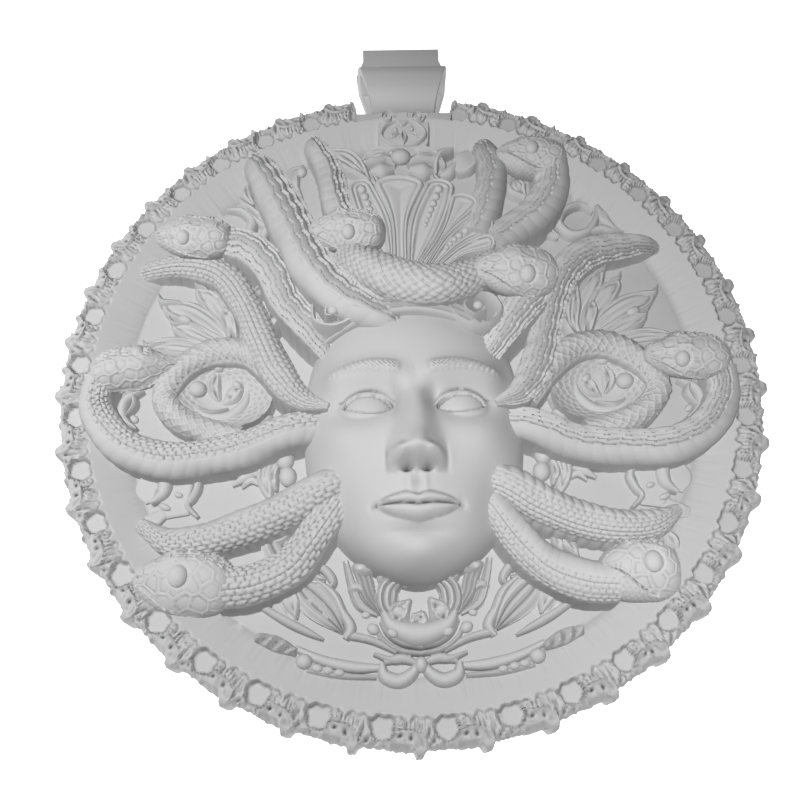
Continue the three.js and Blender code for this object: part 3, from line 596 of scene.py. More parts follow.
def snake_head(neck, snout, half, tall, seed, eye, roll=HEAD_ROLL, mouth=(-0.35, -1.05), taper=0.22):
    """The head and its two eyes. eye is the eye's place along and round the head, and mouth is
    where the mouth's line starts and ends."""
    start, tip = place(*neck), place(*snout)
    forward = tip - start
    length = np.linalg.norm(forward) / 2
    forward = forward / (2 * length)
    up = np.array([0, math.sin(roll), math.cos(roll)])
    outer = np.cross(forward, up)
    outer *= np.sign(outer[2]) / np.linalg.norm(outer)
    up = np.cross(outer, forward)
    up *= np.sign(up[1])
    middle = (start + tip) / 2
    half, tall = half * UNIT, tall * UNIT

    rows, columns = HEAD_ROWS, HEAD_COLUMNS
    y = -np.cos(np.linspace(0, math.pi, rows + 2)[1:-1, None]) * np.ones((1, columns))
    step = (np.arange(columns)[None, :] + 0.5) / columns * 2 - 1
    turn = math.pi * (0.72 * step + 0.28 * step ** 3) + 0 * y
    out, crown = skull(y, turn, taper)

    # Plates with thin sharp cuts between them, all in millimetres
    girth = (half + tall) / 2 / MM
    along, round_it = y * length / MM, turn * girth
    eye_at = (eye[0] * length / MM, eye[1] * girth)
    eye_radius = 0.34 * tall / MM
    seeds = plate_seeds(length / MM, 2 * math.pi * girth, eye_at, eye_radius, seed)
    gaps = np.sqrt((along[..., None] - seeds[:, 0]) ** 2 + (round_it[..., None] - seeds[:, 1]) ** 2)
    order = np.argsort(gaps, axis=-1)[..., :2]
    near, next_near = np.moveaxis(np.take_along_axis(gaps, order, -1), -1, 0)
    border = (next_near - near) / 2
    level = np.random.default_rng(seed).uniform(-0.045, 0.045, len(seeds))[order[..., 0]]
    relief = level + 0.1 * np.exp(-((border / 0.075) ** 2))
    relief -= 0.06 * np.exp(-(((border - 0.2) / 0.07) ** 2))

    # The eye's socket and brow, the mouth with its lip, and fine scales under the jaw
    from_eye = np.hypot(along - eye_at[0], round_it - eye_at[1])
    relief = relief * ramp(from_eye, eye_radius, eye_radius + 0.2)
    relief -= 0.14 * (1 - ramp(from_eye, eye_radius - 0.05, eye_radius + 0.14))
    above = round_it - eye_at[1] - eye_radius - 0.4 - 0.25 * np.cos(along * 1.1)
    relief += 0.16 * np.exp(-((above / 0.16) ** 2)) * np.exp(-(((along - eye_at[0]) / 1.5) ** 4))
    line = mouth[0] + (mouth[1] - mouth[0]) * (1 - ramp(y, -0.35, 1.0))
    under = (turn - line) * girth
    opened = ramp(y, -0.5, -0.35)
    chin = (1 - ramp(under, -0.35, -0.15)) * ramp(turn, -3.0, -2.6)
    fine = 0.13 * diamond_scales(along / 0.62, round_it / 0.5) - 0.06
    relief = relief * (1 - chin) + fine * chin
    lips = 0.1 * np.exp(-((under - 0.2) / 0.1) ** 2) + 0.07 * np.exp(-((under + 0.22) / 0.1) ** 2)
    relief += lips * opened
    relief -= 0.3 * np.exp(-((under / 0.09) ** 2)) * opened
    relief -= 0.2 * np.exp(-((y - 0.86) / 0.04) ** 2 - ((turn - 0.35) / 0.12) ** 2)

    # Overlapping scales along the crown, their ragged edges turned up
    crest = between(turn, 0.95, 2.3, 0.15) * between(y, -0.95, 0.42, 0.12)
    edges = (round_it + 0.12 * np.sin(along * 5.5 + seed) + 0.1 * np.sin(along * 2.3)) / 0.52
    relief = relief * (1 - 0.5 * crest) + 0.26 * crest * (1 - edges % 1) ** 1.5
    relief = relief * np.clip((1 - y ** 2) * 5, 0, 1)

    spots = np.stack([out * half, crown * tall], -1)
    reach = np.linalg.norm(spots, axis=-1, keepdims=True)
    spots = spots * (1 + relief[..., None] * MM / np.maximum(reach, 0.5 * MM))
    points = middle + outer * spots[..., :1] + up * spots[..., 1:] + forward * (y[..., None] * length)
    head = (np.vstack([points.reshape(-1, 3), [start, tip]]), *closed_skin(rows, columns))

    # The blank egg of the eye, seated in its socket
    lat = np.linspace(0, math.pi, EYE_ROWS + 2)[1:-1, None]
    lon = np.arange(EYE_COLUMNS)[None, :] * 2 * math.pi / EYE_COLUMNS
    egg = np.stack([np.cos(lat) * np.ones_like(lon), np.sin(lat) * np.sin(lon),
                    np.sin(lat) * np.cos(lon)], -1)
    egg_half = np.array([eye_radius * 0.9, eye_radius * 1.05, eye_radius * 0.75]) * MM
    eyes = []
    for facing in (0, 1):
        at = math.pi - eye[1] if facing else eye[1]
        seat_out, seat_up = skull(np.array(eye[0]), np.array(at), taper)
        looking = outer * math.cos(at) + up * math.sin(at)
        across = up * math.cos(at) - outer * math.sin(at)
        on_skin = middle + forward * (eye[0] * length) + outer * (seat_out * half) + up * (seat_up * tall)
        centre = on_skin - looking * 0.24 * eye_radius * MM
        spread = [forward * egg_half[0], across * egg_half[1], looking * egg_half[2]]
        shell = centre + sum(egg[..., k:k + 1] * spread[k] for k in range(3))
        poles = np.stack([centre + spread[0], centre - spread[0]])
        eyes.append((np.vstack([shell.reshape(-1, 3), poles]), *closed_skin(EYE_ROWS, EYE_COLUMNS)))
    return [head, *eyes]


# Each from its neck to its snout, with its half width, its half height and its own looks
heads = {
    "upper_left": ([-49.6, 38.2, 12], [-71.6, 40.2, 12], 6.4, 6, {"eye": (0.16, -0.05)}),
    "upper_right": ([47.8, 64.1, 10], [26.9, 68.6, 9], 6.6, 6.2,
                    {"roll": 1.35, "eye": (0.0, 0.2), "mouth": (0.0, -0.8)}),
    "crest": ([-6.4, 35.1, 19], [-27.7, 37, 18], 6.2, 6, {"eye": (-0.1, -0.05)}),
    "brow_right": ([39, 20.9, 18], [17, 20.5, 25], 6.8, 6.9, {"eye": (-0.08, -0.1)}),
    "right": ([86, -0.3, 9], [63, 1.2, 10], 6.2, 6.3, {"eye": (0.22, -0.1)}),
    "left": ([-86.4, -1.4, 9], [-62.8, 2, 8], 5.4, 5.8,
             {"roll": 0.7, "eye": (0.1, 1.5), "mouth": (-0.3, -0.8), "taper": 0.5}),
    "lower_left": ([-45.2, -60, 9], [-70.3, -56.8, 9], 6.8, 7.8,
                   {"eye": (0.03, 0.48), "mouth": (-0.2, -1.0)}),
    "lower_right": ([63.9, -58.3, 10], [44, -58.3, 11], 7, 7.7,
                    {"roll": 1.35, "eye": (-0.2, 0.35), "mouth": (0.3, -0.8), "taper": 0.02}),
}
for order, (name, (neck, snout, half, tall, looks)) in enumerate(heads.items()):
    parts = snake_head(neck, snout, half, tall, 100 + order, **looks)
    cast_piece("head_" + name, parts, smooth_angle=60)


# The face: a calm, plain one of the maker's own, on the usual proportions, cast with the
# disc. It is about five eyes wide, with blank eyeballs under heavy lids, the brows cut in
# short strokes, and the skin left smooth.
FACE_HALF = 12.0 * MM
FACE_DEPTH = 9.4 * MM
EYE_LINE_Y = -5.9 * MM
CHIN = -1.48
CROWN = 1.25
FACE_ROWS = 250
FACE_COLUMNS = 200


def bump(x, y, wide, tall):
    return np.exp(-((x / wide) ** 2) - (y / tall) ** 2)


def head_form(x, y, wide):
    """How far the plain head stands out, in shares of half its width."""
    deep = np.where(y < 0, (1 - 0.1 * (y / CHIN)) * np.sqrt(np.clip(1 - (y / CHIN) ** 9, 0, 1)),
                    np.sqrt(np.clip(1 - (y / CROWN) ** 4, 0, 1)))
    return FACE_DEPTH / FACE_HALF * deep * np.clip(1 - (x / wide) ** 2, 0, 1) ** 0.4


def features(x, y, form):
    """The face's features on top of the plain head, all in shares of half its width."""
    aside = np.abs(x)
    skin = form + 0.03 * bump(aside, y - 0.72, 0.5, 0.34) - 0.05 * bump(aside - 0.86, y - 0.3, 0.14, 0.26)
    skin += (0.055 * bump(aside - 0.6, y + 0.27, 0.22, 0.2)
             - 0.05 * bump(aside - 0.66, y + 0.85, 0.16, 0.3))
    skin += 0.08 * bump(aside, y + 0.86, 0.36, 0.27)

    # Brow ridge, its carved strokes, and the socket under it
    arch = 0.31 + 0.05 * np.sin((aside - 0.1) * 4.2)
    skin += 0.055 * np.exp(-((y - arch + 0.02) / 0.1) ** 2) * between(aside, 0.1, 0.82, 0.12)
    skin -= (0.13 * bump(aside - 0.41, y - 0.03, 0.27, 0.16)
             + 0.07 * bump(aside - 0.155, y - 0.07, 0.07, 0.13))
    thick = 0.05 * (1 - 0.55 * ramp(aside, 0.3, 0.78))
    stroke = np.sin((aside * 0.9 - (y - arch) * (1.7 - 1.9 * aside)) * 150)
    hair = between(y, arch - thick, arch + thick, 0.012) * between(aside, 0.13, 0.76, 0.03)
    skin += hair * (0.014 + 0.011 * stroke)

    # Nose: bridge, tip, wings and nostrils
    t = np.clip((0.2 - y) / 0.67, 0, 1)
    rise = np.where(y > -0.47, 0.3 * t ** 1.15, 0.3) * ramp(y, -0.635, -0.49) * (1 - ramp(y, 0.05, 0.26))
    narrow = 0.08 + 0.06 * t
    skin += rise * (0.7 * np.exp(-np.abs(aside / (narrow * 1.25)) ** 2.6)
                    + 0.3 * np.exp(-((aside / 0.2) ** 2)))
    skin += 0.04 * bump(aside, y + 0.46, 0.13, 0.12)
    skin += 0.12 * np.exp(-(((aside - 0.155) / 0.07) ** 2 + ((y + 0.52) / 0.075) ** 2) ** 1.3)
    skin -= (0.035 * bump(aside - 0.245, y + 0.5, 0.03, 0.1)
             + 0.03 * bump(aside - 0.12, y + 0.43, 0.03, 0.05))
    skin -= 0.13 * bump(aside - 0.085, y + 0.6, 0.05, 0.022)
    skin -= 0.02 * bump(aside, y + 0.72, 0.035, 0.09) - 0.014 * bump(aside - 0.065, y + 0.73, 0.025, 0.09)

    # Mouth: two lips that meet on a level line
    line = -0.905 - 0.012 * np.exp(-((aside / 0.07) ** 2)) + 0.012 * (aside / 0.33) ** 2
    corner = np.clip(1 - (aside / 0.345) ** 2, 0, 1)
    top = line + 0.1 * corner ** 0.8 - 0.02 * np.exp(-((aside / 0.045) ** 2))
    foot = line - 0.125 * corner ** 0.75
    up_share = np.clip((y - line) / np.maximum(top - line, 1e-3), 0, 1)
    down_share = np.clip((line - y) / np.maximum(line - foot, 1e-3), 0, 1)
    upper = between(y, line, top, 0.006) * np.sin(math.pi * (0.12 + 0.8 * up_share)) ** 0.8
    lower = between(y, foot, line, 0.006) * np.sin(math.pi * (0.1 + 0.86 * down_share)) ** 0.7
    skin += (0.06 * upper + 0.085 * lower) * corner ** 0.35
    skin -= 0.04 * np.exp(-((y - line) / 0.014) ** 2) * (1 - ramp(aside, 0.33, 0.37))
    skin -= 0.03 * bump(aside - 0.365, y + 0.895, 0.035, 0.04)
    skin += 0.1 * bump(aside, y + 1.29, 0.22, 0.13) - 0.05 * bump(aside, y + 1.1, 0.22, 0.05)

    # Eyes: a ball in its socket, and a lid round the opening
    ball_x, ball_r, lid = 0.405, 0.25, 0.026
    seat = head_form(np.array(ball_x), np.array(0.0), np.array(1.0)) - 0.295
    away = (aside - ball_x) ** 2 + (y + 0.005) ** 2
    ball = seat + np.sqrt(np.clip(ball_r ** 2 - away, 0, None))
    shell = seat + np.sqrt(np.clip((ball_r + lid) ** 2 - away, 0, None))
    u = np.clip((aside - ball_x) / 0.215, -1, 1)
    tilt = 0.012 * u
    upper_lid = tilt + 0.108 * (1 - u ** 2) ** 0.62
    lower_lid = tilt - 0.068 * (1 - u ** 2) ** 0.75
    lidded = np.logaddexp(skin * 70, shell * 70) / 70
    crease = 0.155 * (1 - u ** 2 * 0.75) ** 0.6
    fold = np.exp(-((y - tilt - crease) / 0.014) ** 2) * between(aside, 0.2, 0.66, 0.05)
    skin = np.where(away < 0.36 ** 2, lidded, skin) - 0.018 * fold
    opening = between(y, lower_lid, upper_lid, 0.006) * (np.abs(u) < 1)
    return skin * (1 - opening) + ball * opening


def face():
    rows, columns = FACE_ROWS, FACE_COLUMNS
    latitude = np.linspace(0, math.pi, rows + 2)[1:-1, None]
    y = (CROWN + CHIN) / 2 - (CROWN - CHIN) / 2 * np.cos(latitude)
    y = 0.75 * y + 0.25 * (CHIN + (CROWN - CHIN) * latitude / math.pi)
    jaw = np.clip(1 - np.clip((-0.1 - y) / (-0.1 - CHIN), 0, 1) ** 2.3, 1e-4, 1) ** 0.62
    skull_top = np.clip(1 - np.clip((y - 0.1) / (CROWN - 0.1), 0, 1) ** 2.6, 1e-4, 1) ** 0.5
    wide = np.where(y < -0.1, jaw, skull_top)
    across = np.linspace(1, -1, columns)[None, :]
    azimuth = math.pi / 2 * (0.8 * across + 0.2 * across ** 3)
    x = wide * np.sin(azimuth)
    y = y + 0 * x
    form = head_form(x, y, wide)
    height = np.maximum(features(x, y, form), 0)
    border = (ramp(np.cos(azimuth), 0.0, 0.14) * ramp(y, CHIN, CHIN + 0.03)
              * (1 - ramp(y, CROWN - 0.03, CROWN)))
    height = height * border + form * (1 - border)
    z = GROUND_Z - 0.2 * MM + height * FACE_HALF
    spots = np.stack([x * FACE_HALF, EYE_LINE_Y + y * FACE_HALF, z], -1)
    cast_piece("face", [rooted(spots)], smooth_angle=60)


face()


# The palmette: a shell-shaped crest over the brow, of six lobes that fan from one foot and
# meet in narrow valleys. Every other one is moulded twice round a row of pearls, and the ones
# between are plain spoons with a rounded rim.
LOBE_ROWS = 100
LOBE_COLUMNS = 37
LOBE_PEARLS = 7
BALL_ROWS = 9
BALL_COLUMNS = 14


def in_from_edge(spots):
    """How far each spot of a leaf's rows is from its sides and its tip, seen from the front."""
    edge = np.concatenate([spots[:, 0, :2], spots[-1, 1:-1, :2], spots[::-1, -1, :2]])
    apart = spots[:, :, None, :2] - edge
    return np.sqrt((apart ** 2).sum(-1).min(-1))


def blade(route, profile, grain=0.15 * MM):
    """A flat-backed piece along a route of [u, v, height, half width]. profile gives its height
    as a share of the route's, from millimetres in from the edge, the place across from right
    to left (1 to -1), and millimetres along with the whole length."""
    length = directions(smooth_route(route, 40)[0])[2][-1]
    columns = int(np.clip(2 * max(knot[3] for knot in route) * UNIT / (0.85 * grain), 7, 45))
    line, half = smooth_route(route, int(np.clip(length / grain, 10, 90)))
    side, _, run = directions(line)
    side[:, 2] = 0
    across = np.sin(np.linspace(math.pi / 2, -math.pi / 2, columns))[None, :]
    half, run = half[:, None], run[:, None]
    spots = line[:, None] + side[:, None] * (across * half)[..., None]
    share = profile(in_from_edge(spots) / MM, across, run / MM, run[-1] / MM)
    spots[..., 2] = GROUND_Z + (line[:, None, 2] - GROUND_Z) * share
    return rooted(spots)


def ball(centre, radius, long=1.0, turn=0.0):
    """A pearl, or an egg where it is longer."""
    polar = np.linspace(0, math.pi, BALL_ROWS + 2)[1:-1, None]
    around = np.arange(BALL_COLUMNS)[None, :] * 2 * math.pi / BALL_COLUMNS
    cosine, sine = math.cos(turn), math.sin(turn)
    x = long * np.sin(polar) * np.cos(around)
    y = np.sin(polar) * np.sin(around)
    z = np.cos(polar) * np.ones_like(around)
    spots = np.stack([x * cosine - y * sine, x * sine + y * cosine, z], -1)
    ends = np.array([[0, 0, 1], [0, 0, -1]])
    points = np.vstack([spots.reshape(-1, 3), ends]) * radius + centre
    return (points, *closed_skin(BALL_ROWS, BALL_COLUMNS))


def raised_line(from_edge, at, wide):
    return np.exp(-(((from_edge - at) / wide) ** 2))


# The valleys between the lobes, from the left, each [foot, middle, shoulder], and the lobes' tips
valleys = np.array([
    [(-6.4, 29.4), (-12.9, 39.9), (-16.9, 53.2)],
    [(-4.4, 28.4), (-5.1, 44.1), (-9.3, 54.9)],
    [(-0.5, 28.0), (0.4, 44.0), (5.0, 55.2)],
    [(2.0, 28.0), (9.9, 40.8), (13.7, 52.6)],
    [(4.0, 27.6), (12.3, 40.1), (18.8, 45.4)],
    [(6.0, 26.8), (14.5, 34.3), (21.9, 37.7)],
    [(7.5, 25.6), (15.6, 31.1), (22.6, 32.3)],
])
tips = [(-14.0, 57.7), (-2.0, 58.7), (9.9, 57.4), (17.0, 51.9), (24.6, 42.0), (24.6, 35.1)]


def pearled_skin(e):
    """Down from the lobe's crest, in millimetres, with e = 1 in the groove inside its rim."""
    skin = -0.5 * (1 - ramp(e, -0.1, 0.6)) - 0.17 * raised_line(e, 1.12, 0.28)
    return skin - 0.06 * ramp(e, 1.0, 1.2) - 0.3 * ramp(e, 1.75, 2.3)


def spoon_skin(e):
    skin = -0.5 * (1 - ramp(e, -0.1, 0.6)) - 0.12 * raised_line(e, 1.35, 0.3)
    return skin - 0.12 * ramp(e, 1.1, 1.4) - 0.3 * ramp(e, 1.3, 4.6)


def lobe(right, left, tip, height, skin, pearls):
    """A lobe between two valleys, with a round end over its shoulders."""
    middle, wide = (right + left) / 2, np.linalg.norm(right - left, axis=1) / 2
    route = [[*middle[k], height - 1.2 + 0.8 * k, wide[k]] for k in range(3)]
    for out in (0.3, 0.55, 0.76, 0.9, 0.975, 1.0):
        rounded = wide[2] * math.sqrt(1 - out * out)
        route.append([*(middle[2] + (tip - middle[2]) * out), height + 0.4, rounded])
    line, half = smooth_route(route, LOBE_ROWS)
    side, _, run = directions(line)
    side[:, 2] = 0
    across = np.sin(np.linspace(math.pi / 2, -math.pi / 2, LOBE_COLUMNS))[None, :]
    half = half[:, None]
    full = np.minimum(np.maximum.accumulate(half), 2.2 * MM)
    spots = line[:, None] + side[:, None] * (across * half)[..., None]
    spots[..., 2] += skin(in_from_edge(spots) / (0.12 * MM + 0.2 * full)) * MM
    parts = [rooted(spots)]
    gone = run[-1] - 1.7 * MM
    for k in range(pearls):
        radius = (0.56 - 0.045 * k) * MM
        centre = np.array([np.interp(gone, run, line[:, i]) for i in range(3)])
        parts.append(ball(centre - [0, 0, 0.3 * MM], radius))
        gone -= 1.85 * radius
    return parts


def palmette():
    parts = []
    for order, tip in enumerate(tips):
        height = 14.0 + 0.3 * (order % 2)
        skin, pearls = (spoon_skin, 0) if order % 2 else (pearled_skin, LOBE_PEARLS)
        parts += lobe(valleys[order + 1], valleys[order], np.array(tip), height, skin, pearls)
    for route in ([[2.7, 22, 18, 2], [-1.4, 24, 19, 4.2], [-2.0, 26.4, 18.4, 3.6],
                   [-2.2, 28.2, 17, 1.2]],
                  [[5.6, 21, 17, 1.2], [5.2, 24, 18, 2.2], [4.7, 26.2, 17.6, 1.2],
                   [4.6, 27.4, 16, 0.3]]):
        parts.append(blade(route, leaf_skin))
    cast_piece("palmette", parts, smooth_angle=50)


def leaf_skin(from_edge, across, run, length):
    """A fleshy leaf: rounded over, a groove a little in from its edge and a crease down it."""
    share = 0.97 - 0.3 * (1 - ramp(from_edge, -0.1, 0.35)) - 0.13 * raised_line(from_edge, 0.62, 0.14)
    return share - 0.12 * np.exp(-((across / 0.13) ** 2)) * (1 - ramp(run, 0.5 * length, 0.9 * length))


def folded_skin(from_edge, across, run, length):
    """A leaf with long folds that open from its foot."""
    return 0.85 + 0.13 * np.cos(across * 11) - 0.25 * (1 - ramp(from_edge, -0.1, 0.25))


def rod_skin(from_edge, across, run, length):
    return 0.35 + 0.65 * np.sqrt(np.clip(1 - across ** 2, 0, 1))


def moulded_skin(from_edge, across, run, length):
    """Three mouldings side by side."""
    return 0.86 + 0.12 * np.abs(np.cos(across * 1.5 * math.pi)) - 0.3 * ramp(np.abs(across), 0.93, 1)


def plate_skin(from_edge, across, run, length):
    return 1 - 0.25 * (1 - ramp(from_edge, -0.05, 0.2))


def twisted_skin(from_edge, across, run, length):
    rounded = 0.4 + 0.45 * np.sqrt(np.clip(1 - across ** 2, 0, 1))
    return rounded * (1 + 0.25 * np.sin(run * 5 + across * 1.6))


palmette()


# The ground's ornament: acanthus leaves, rosettes inside the snakes' rings, scrolls and drops
# in low relief, cast with the disc. Most of it is the same on both sides, mirrored.
def both_sides(route):
    return [route, [[-u, *rest] for u, *rest in route]]


def ornament(name, work, beads=(), mirrored=True, grain=0.165 * MM):
    """One piece of the casting, on one side or on both, from [(profile, routes)] and beads, each
    (u, v, height, radius, length in radii, turn)."""
    parts = []
    for profile, routes in work:
        for route in routes:
            for copy in both_sides(route) if mirrored else [route]:
                parts.append(blade(copy, profile, grain))
    for u, v, height, radius, long, turn in beads:
        parts.append(ball(place(u, v, height), radius * UNIT, long, turn))
        if mirrored:
            parts.append(ball(place(-u, v, height), radius * UNIT, long, -turn))
    cast_piece(name, parts, smooth_angle=45)


ornament("acanthus", [
    (leaf_skin, [
        [[47, 9, 3, 2], [48, 17, 4, 2.6], [52, 25, 4.5, 3.2], [55, 29.5, 4, 2.2], [57.5, 32, 3.4, 0.3]],
        [[48, 9, 3, 2], [52, 17, 4, 2.8], [57, 24, 4.5, 3.2], [60, 27, 4, 1.8], [61, 29, 3.4, 0.3]],
        [[49, 9, 3, 2], [55, 15, 4, 3], [62, 19.5, 5, 3.6], [68, 22, 4.4, 2.6], [71, 24.5, 3.4, 0.3]],
        [[49, 8, 3, 2], [56, 11.5, 4, 2.6], [62, 14.5, 4.5, 3], [66, 16.5, 4, 2],
         [67.5, 18.5, 3.4, 0.3]],
        [[50, 7, 3, 2], [58, 8.5, 4, 2.6], [66, 9.8, 4.4, 3], [73, 9.5, 4, 2], [77, 9, 3, 0.3]],
    ]),
    (rod_skin, [
        [[60.5, 22, 3, 0.4], [66, 23.2, 5, 0.8], [70.4, 23.6, 5.4, 1.1], [71.6, 26, 4.6, 0.4]],
        [[60, 15.6, 3, 0.4], [63.6, 16.4, 5, 0.7], [66.8, 16.6, 5.2, 0.9], [68, 18.8, 4.6, 0.3]],
        [[56, 25, 3, 0.4], [58.6, 27.8, 4.8, 0.8], [60.8, 28.6, 5, 0.8], [61.6, 30.6, 4.4, 0.3]],
        [[52.6, 27.6, 3, 0.4], [54.6, 30.8, 4.8, 0.8], [57, 32, 5, 0.8], [57.4, 34, 4.4, 0.3]],
        [[65, 10.4, 3, 0.4], [69.6, 10.2, 4.6, 0.7], [73.4, 9.8, 4.8, 0.8], [75, 11.4, 4.2, 0.3]],
    ]),
    (leaf_skin, [[[48, 8, 5, 1], [45.5, 14, 6, 2.4], [46, 20, 6.4, 3], [49, 27, 4.6, 0.3]],
                 [[49, 8, 5, 1], [50, 13, 6, 2], [51.5, 18, 6, 2.2], [53, 22, 4.6, 0.3]]]),
], beads=[(63.5, 17.4, 4.2, 1.3, 1.6, 0.4)])

ornament("rosettes", [
    (rod_skin, [
        [[60, -2, 3, 0.7], [61.5, -7, 4, 1.5], [57, -11.5, 4.5, 1.9], [50.5, -12, 4.5, 1.9],
         [46, -8, 4, 1.6], [45, -3, 3, 0.5]],
        [[58, -9.5, 5, 0.5], [55, -11, 5.6, 0.9], [50, -10, 5, 0.4]],
        [[42, 3, 3, 0.5], [40, -1, 3.6, 1], [41, -6, 3.6, 1], [44, -10, 3, 0.4]],
    ]),
    (leaf_skin, [
        [[53, -7, 3, 0.8], [54.5, -3, 4.4, 2], [53, 2.5, 4, 0.5]],
        [[52, -8, 3, 0.5], [49, -5.5, 4.6, 2.2], [46.5, -0.5, 3.6, 0.4]],
        [[50, 0, 3, 0.5], [52, 2.4, 3.6, 1.4], [56, 3, 3, 0.4]],
        [[43, -12, 3, 0.8], [40.5, -9, 4.4, 2.6], [37.5, -6.5, 3.4, 0.6]],
        [[44, -14, 3, 0.8], [41, -12.5, 4, 1.8], [38, -12, 3, 0.4]],
    ]),
], beads=[(58.6, -4, 4, 2.3, 1.1, 0.3), (53.2, 2.6, 4, 1.7, 1, 0), (39, -5.4, 4.4, 1.7, 1.2, 0.5),
          (48, -3, 4.2, 1.1, 1.4, 0.8)])

ornament("drops", [
    (leaf_skin, [
        [[35.5, -20, 3, 0.6], [38.5, -25, 4, 2.6], [39.5, -30, 4, 2.4], [38, -36, 3, 0.5]],
        [[36.5, -26, 4, 0.5], [37.4, -29.5, 5, 1.3], [36.6, -33, 4, 0.4]],
        [[40.5, -28, 2.4, 0.5], [43.5, -27.5, 3, 1.4], [45.5, -29, 3, 1.2], [48.5, -31, 2.4, 0.3]],
        [[41, -31, 2.4, 0.4], [43.5, -29.6, 2.8, 0.9], [46, -31.6, 2.4, 0.3]],
    ]),
], beads=[(34.4, -24.4, 3, 2.5, 1.25, 1.5), (33.6, -29.4, 3, 2.4, 1.2, 1.5),
          (34.6, -20.6, 3, 1.3, 1.2, 1.5)])

ornament("side_scrolls", [
    (rod_skin, [
        [[69.5, -26, 3, 0.8], [66.5, -28.5, 4, 1.9], [66.3, -32.5, 4, 1.9], [69.5, -35.6, 3, 0.6]],
        [[59.5, -27, 2.4, 0.9], [57.5, -30.5, 3, 1.2], [58.6, -34, 3, 1.1], [60, -36, 2.6, 0.9],
         [57, -39.5, 2.6, 0.6]],
        [[74, -3, 3, 0.6], [78.5, -6, 4, 1.4], [79, -11, 4, 1.5], [75, -14.5, 3, 0.5]],
        [[77.5, -3, 3.4, 0.5], [76, -7, 4, 0.9], [78, -10.6, 3.4, 0.4]],
    ]),
    (plate_skin, [
        [[61, -26, 1.6, 3.4], [63.5, -32, 1.9, 4.2], [62.5, -39, 1.6, 3]],
        [[70, -28, 1.4, 2.6], [71, -31.5, 1.8, 3], [70, -35, 1.4, 1.2]],
        [[66, -38, 1.8, 1.4], [69.5, -40.5, 2.4, 2], [74, -41, 1.6, 0.6]],
    ]),
], beads=[(62.4, -33.4, 2, 0.8, 1.6, 0.3), (65.8, -36.6, 2, 0.9, 2, 0.4), (75.5, -12, 3, 1, 1.4, 0.8)])

ornament("upper_right_scroll", [
    (rod_skin, [
        [[56, 52.6, 3, 0.5], [52.5, 55, 3.6, 0.9], [47.5, 53, 3.8, 1.3], [45.6, 48.5, 3.8, 1.5],
         [48.6, 44.8, 3.8, 1.5],
         [53.5, 45.5, 3.8, 1.4], [56.6, 49.5, 3.6, 1.2], [57.6, 53.6, 3, 0.5]],
        [[54, 45, 3, 0.5], [58, 46.4, 3.8, 1.4], [61, 45.6, 3.4, 0.9], [64.5, 45.4, 2.6, 0.3]],
    ]),
    (leaf_skin, [
        [[57.5, 55, 3, 0.5], [58.5, 51, 4, 1.5], [61, 47.5, 3.4, 1], [63.5, 46, 2.6, 0.3]],
        [[45, 44, 3, 0.8], [41, 46, 3.6, 2], [38, 43.5, 3, 1.4], [34, 43, 2.6, 0.4]],
        [[36, 57.4, 4, 0.8], [33.6, 61, 5, 3.2], [34, 65.6, 4, 0.8]],
        [[38, 55, 3, 0.5], [41, 58, 3.6, 1.6], [44, 62, 3, 0.4]],
    ]),
], mirrored=False)

ornament("upper_left_scroll", [
    (rod_skin, [
        [[-36, 49, 3.4, 0.8], [-41, 48.6, 4, 1.5], [-42.5, 43.6, 4, 1.5], [-38.6, 40.8, 4, 1.3],
         [-35.8, 43.6, 4, 1.1], [-38.6, 45.6, 4, 0.6]],
        [[-54, 55.6, 2.6, 0.4], [-49.5, 55, 3.6, 1.1], [-46, 51, 4, 1.6], [-48, 46.5, 4, 1.5],
         [-52.5, 45.5, 3, 0.4]],
    ]),
    (leaf_skin, [
        [[-38, 48, 3.6, 1], [-41.5, 52.5, 4.6, 2.4], [-43.5, 58, 4, 1.8], [-44.5, 63, 3, 0.4]],
        [[-40, 48, 3.4, 0.8], [-45, 53, 4, 1.8], [-48.5, 57, 3.4, 1.2], [-50.5, 60, 2.6, 0.3]],
        [[-36, 49, 3.4, 0.6], [-38, 55, 4, 1.4], [-38.5, 61, 3, 0.3]],
        [[-46, 57.5, 2.6, 0.4], [-48, 61, 3.6, 1.6], [-47.6, 65.5, 2.6, 0.3]],
        [[-31.5, 59.5, 2.6, 0.6], [-34.5, 64, 3.6, 2.4], [-34, 68.5, 3, 2], [-31, 71.5, 2.4, 0.4]],
    ]),
], beads=[(-38.4, 44.4, 4.6, 1.2, 1, 0), (-31.4, 68, 3, 1.5, 1.2, 1.2)], mirrored=False)


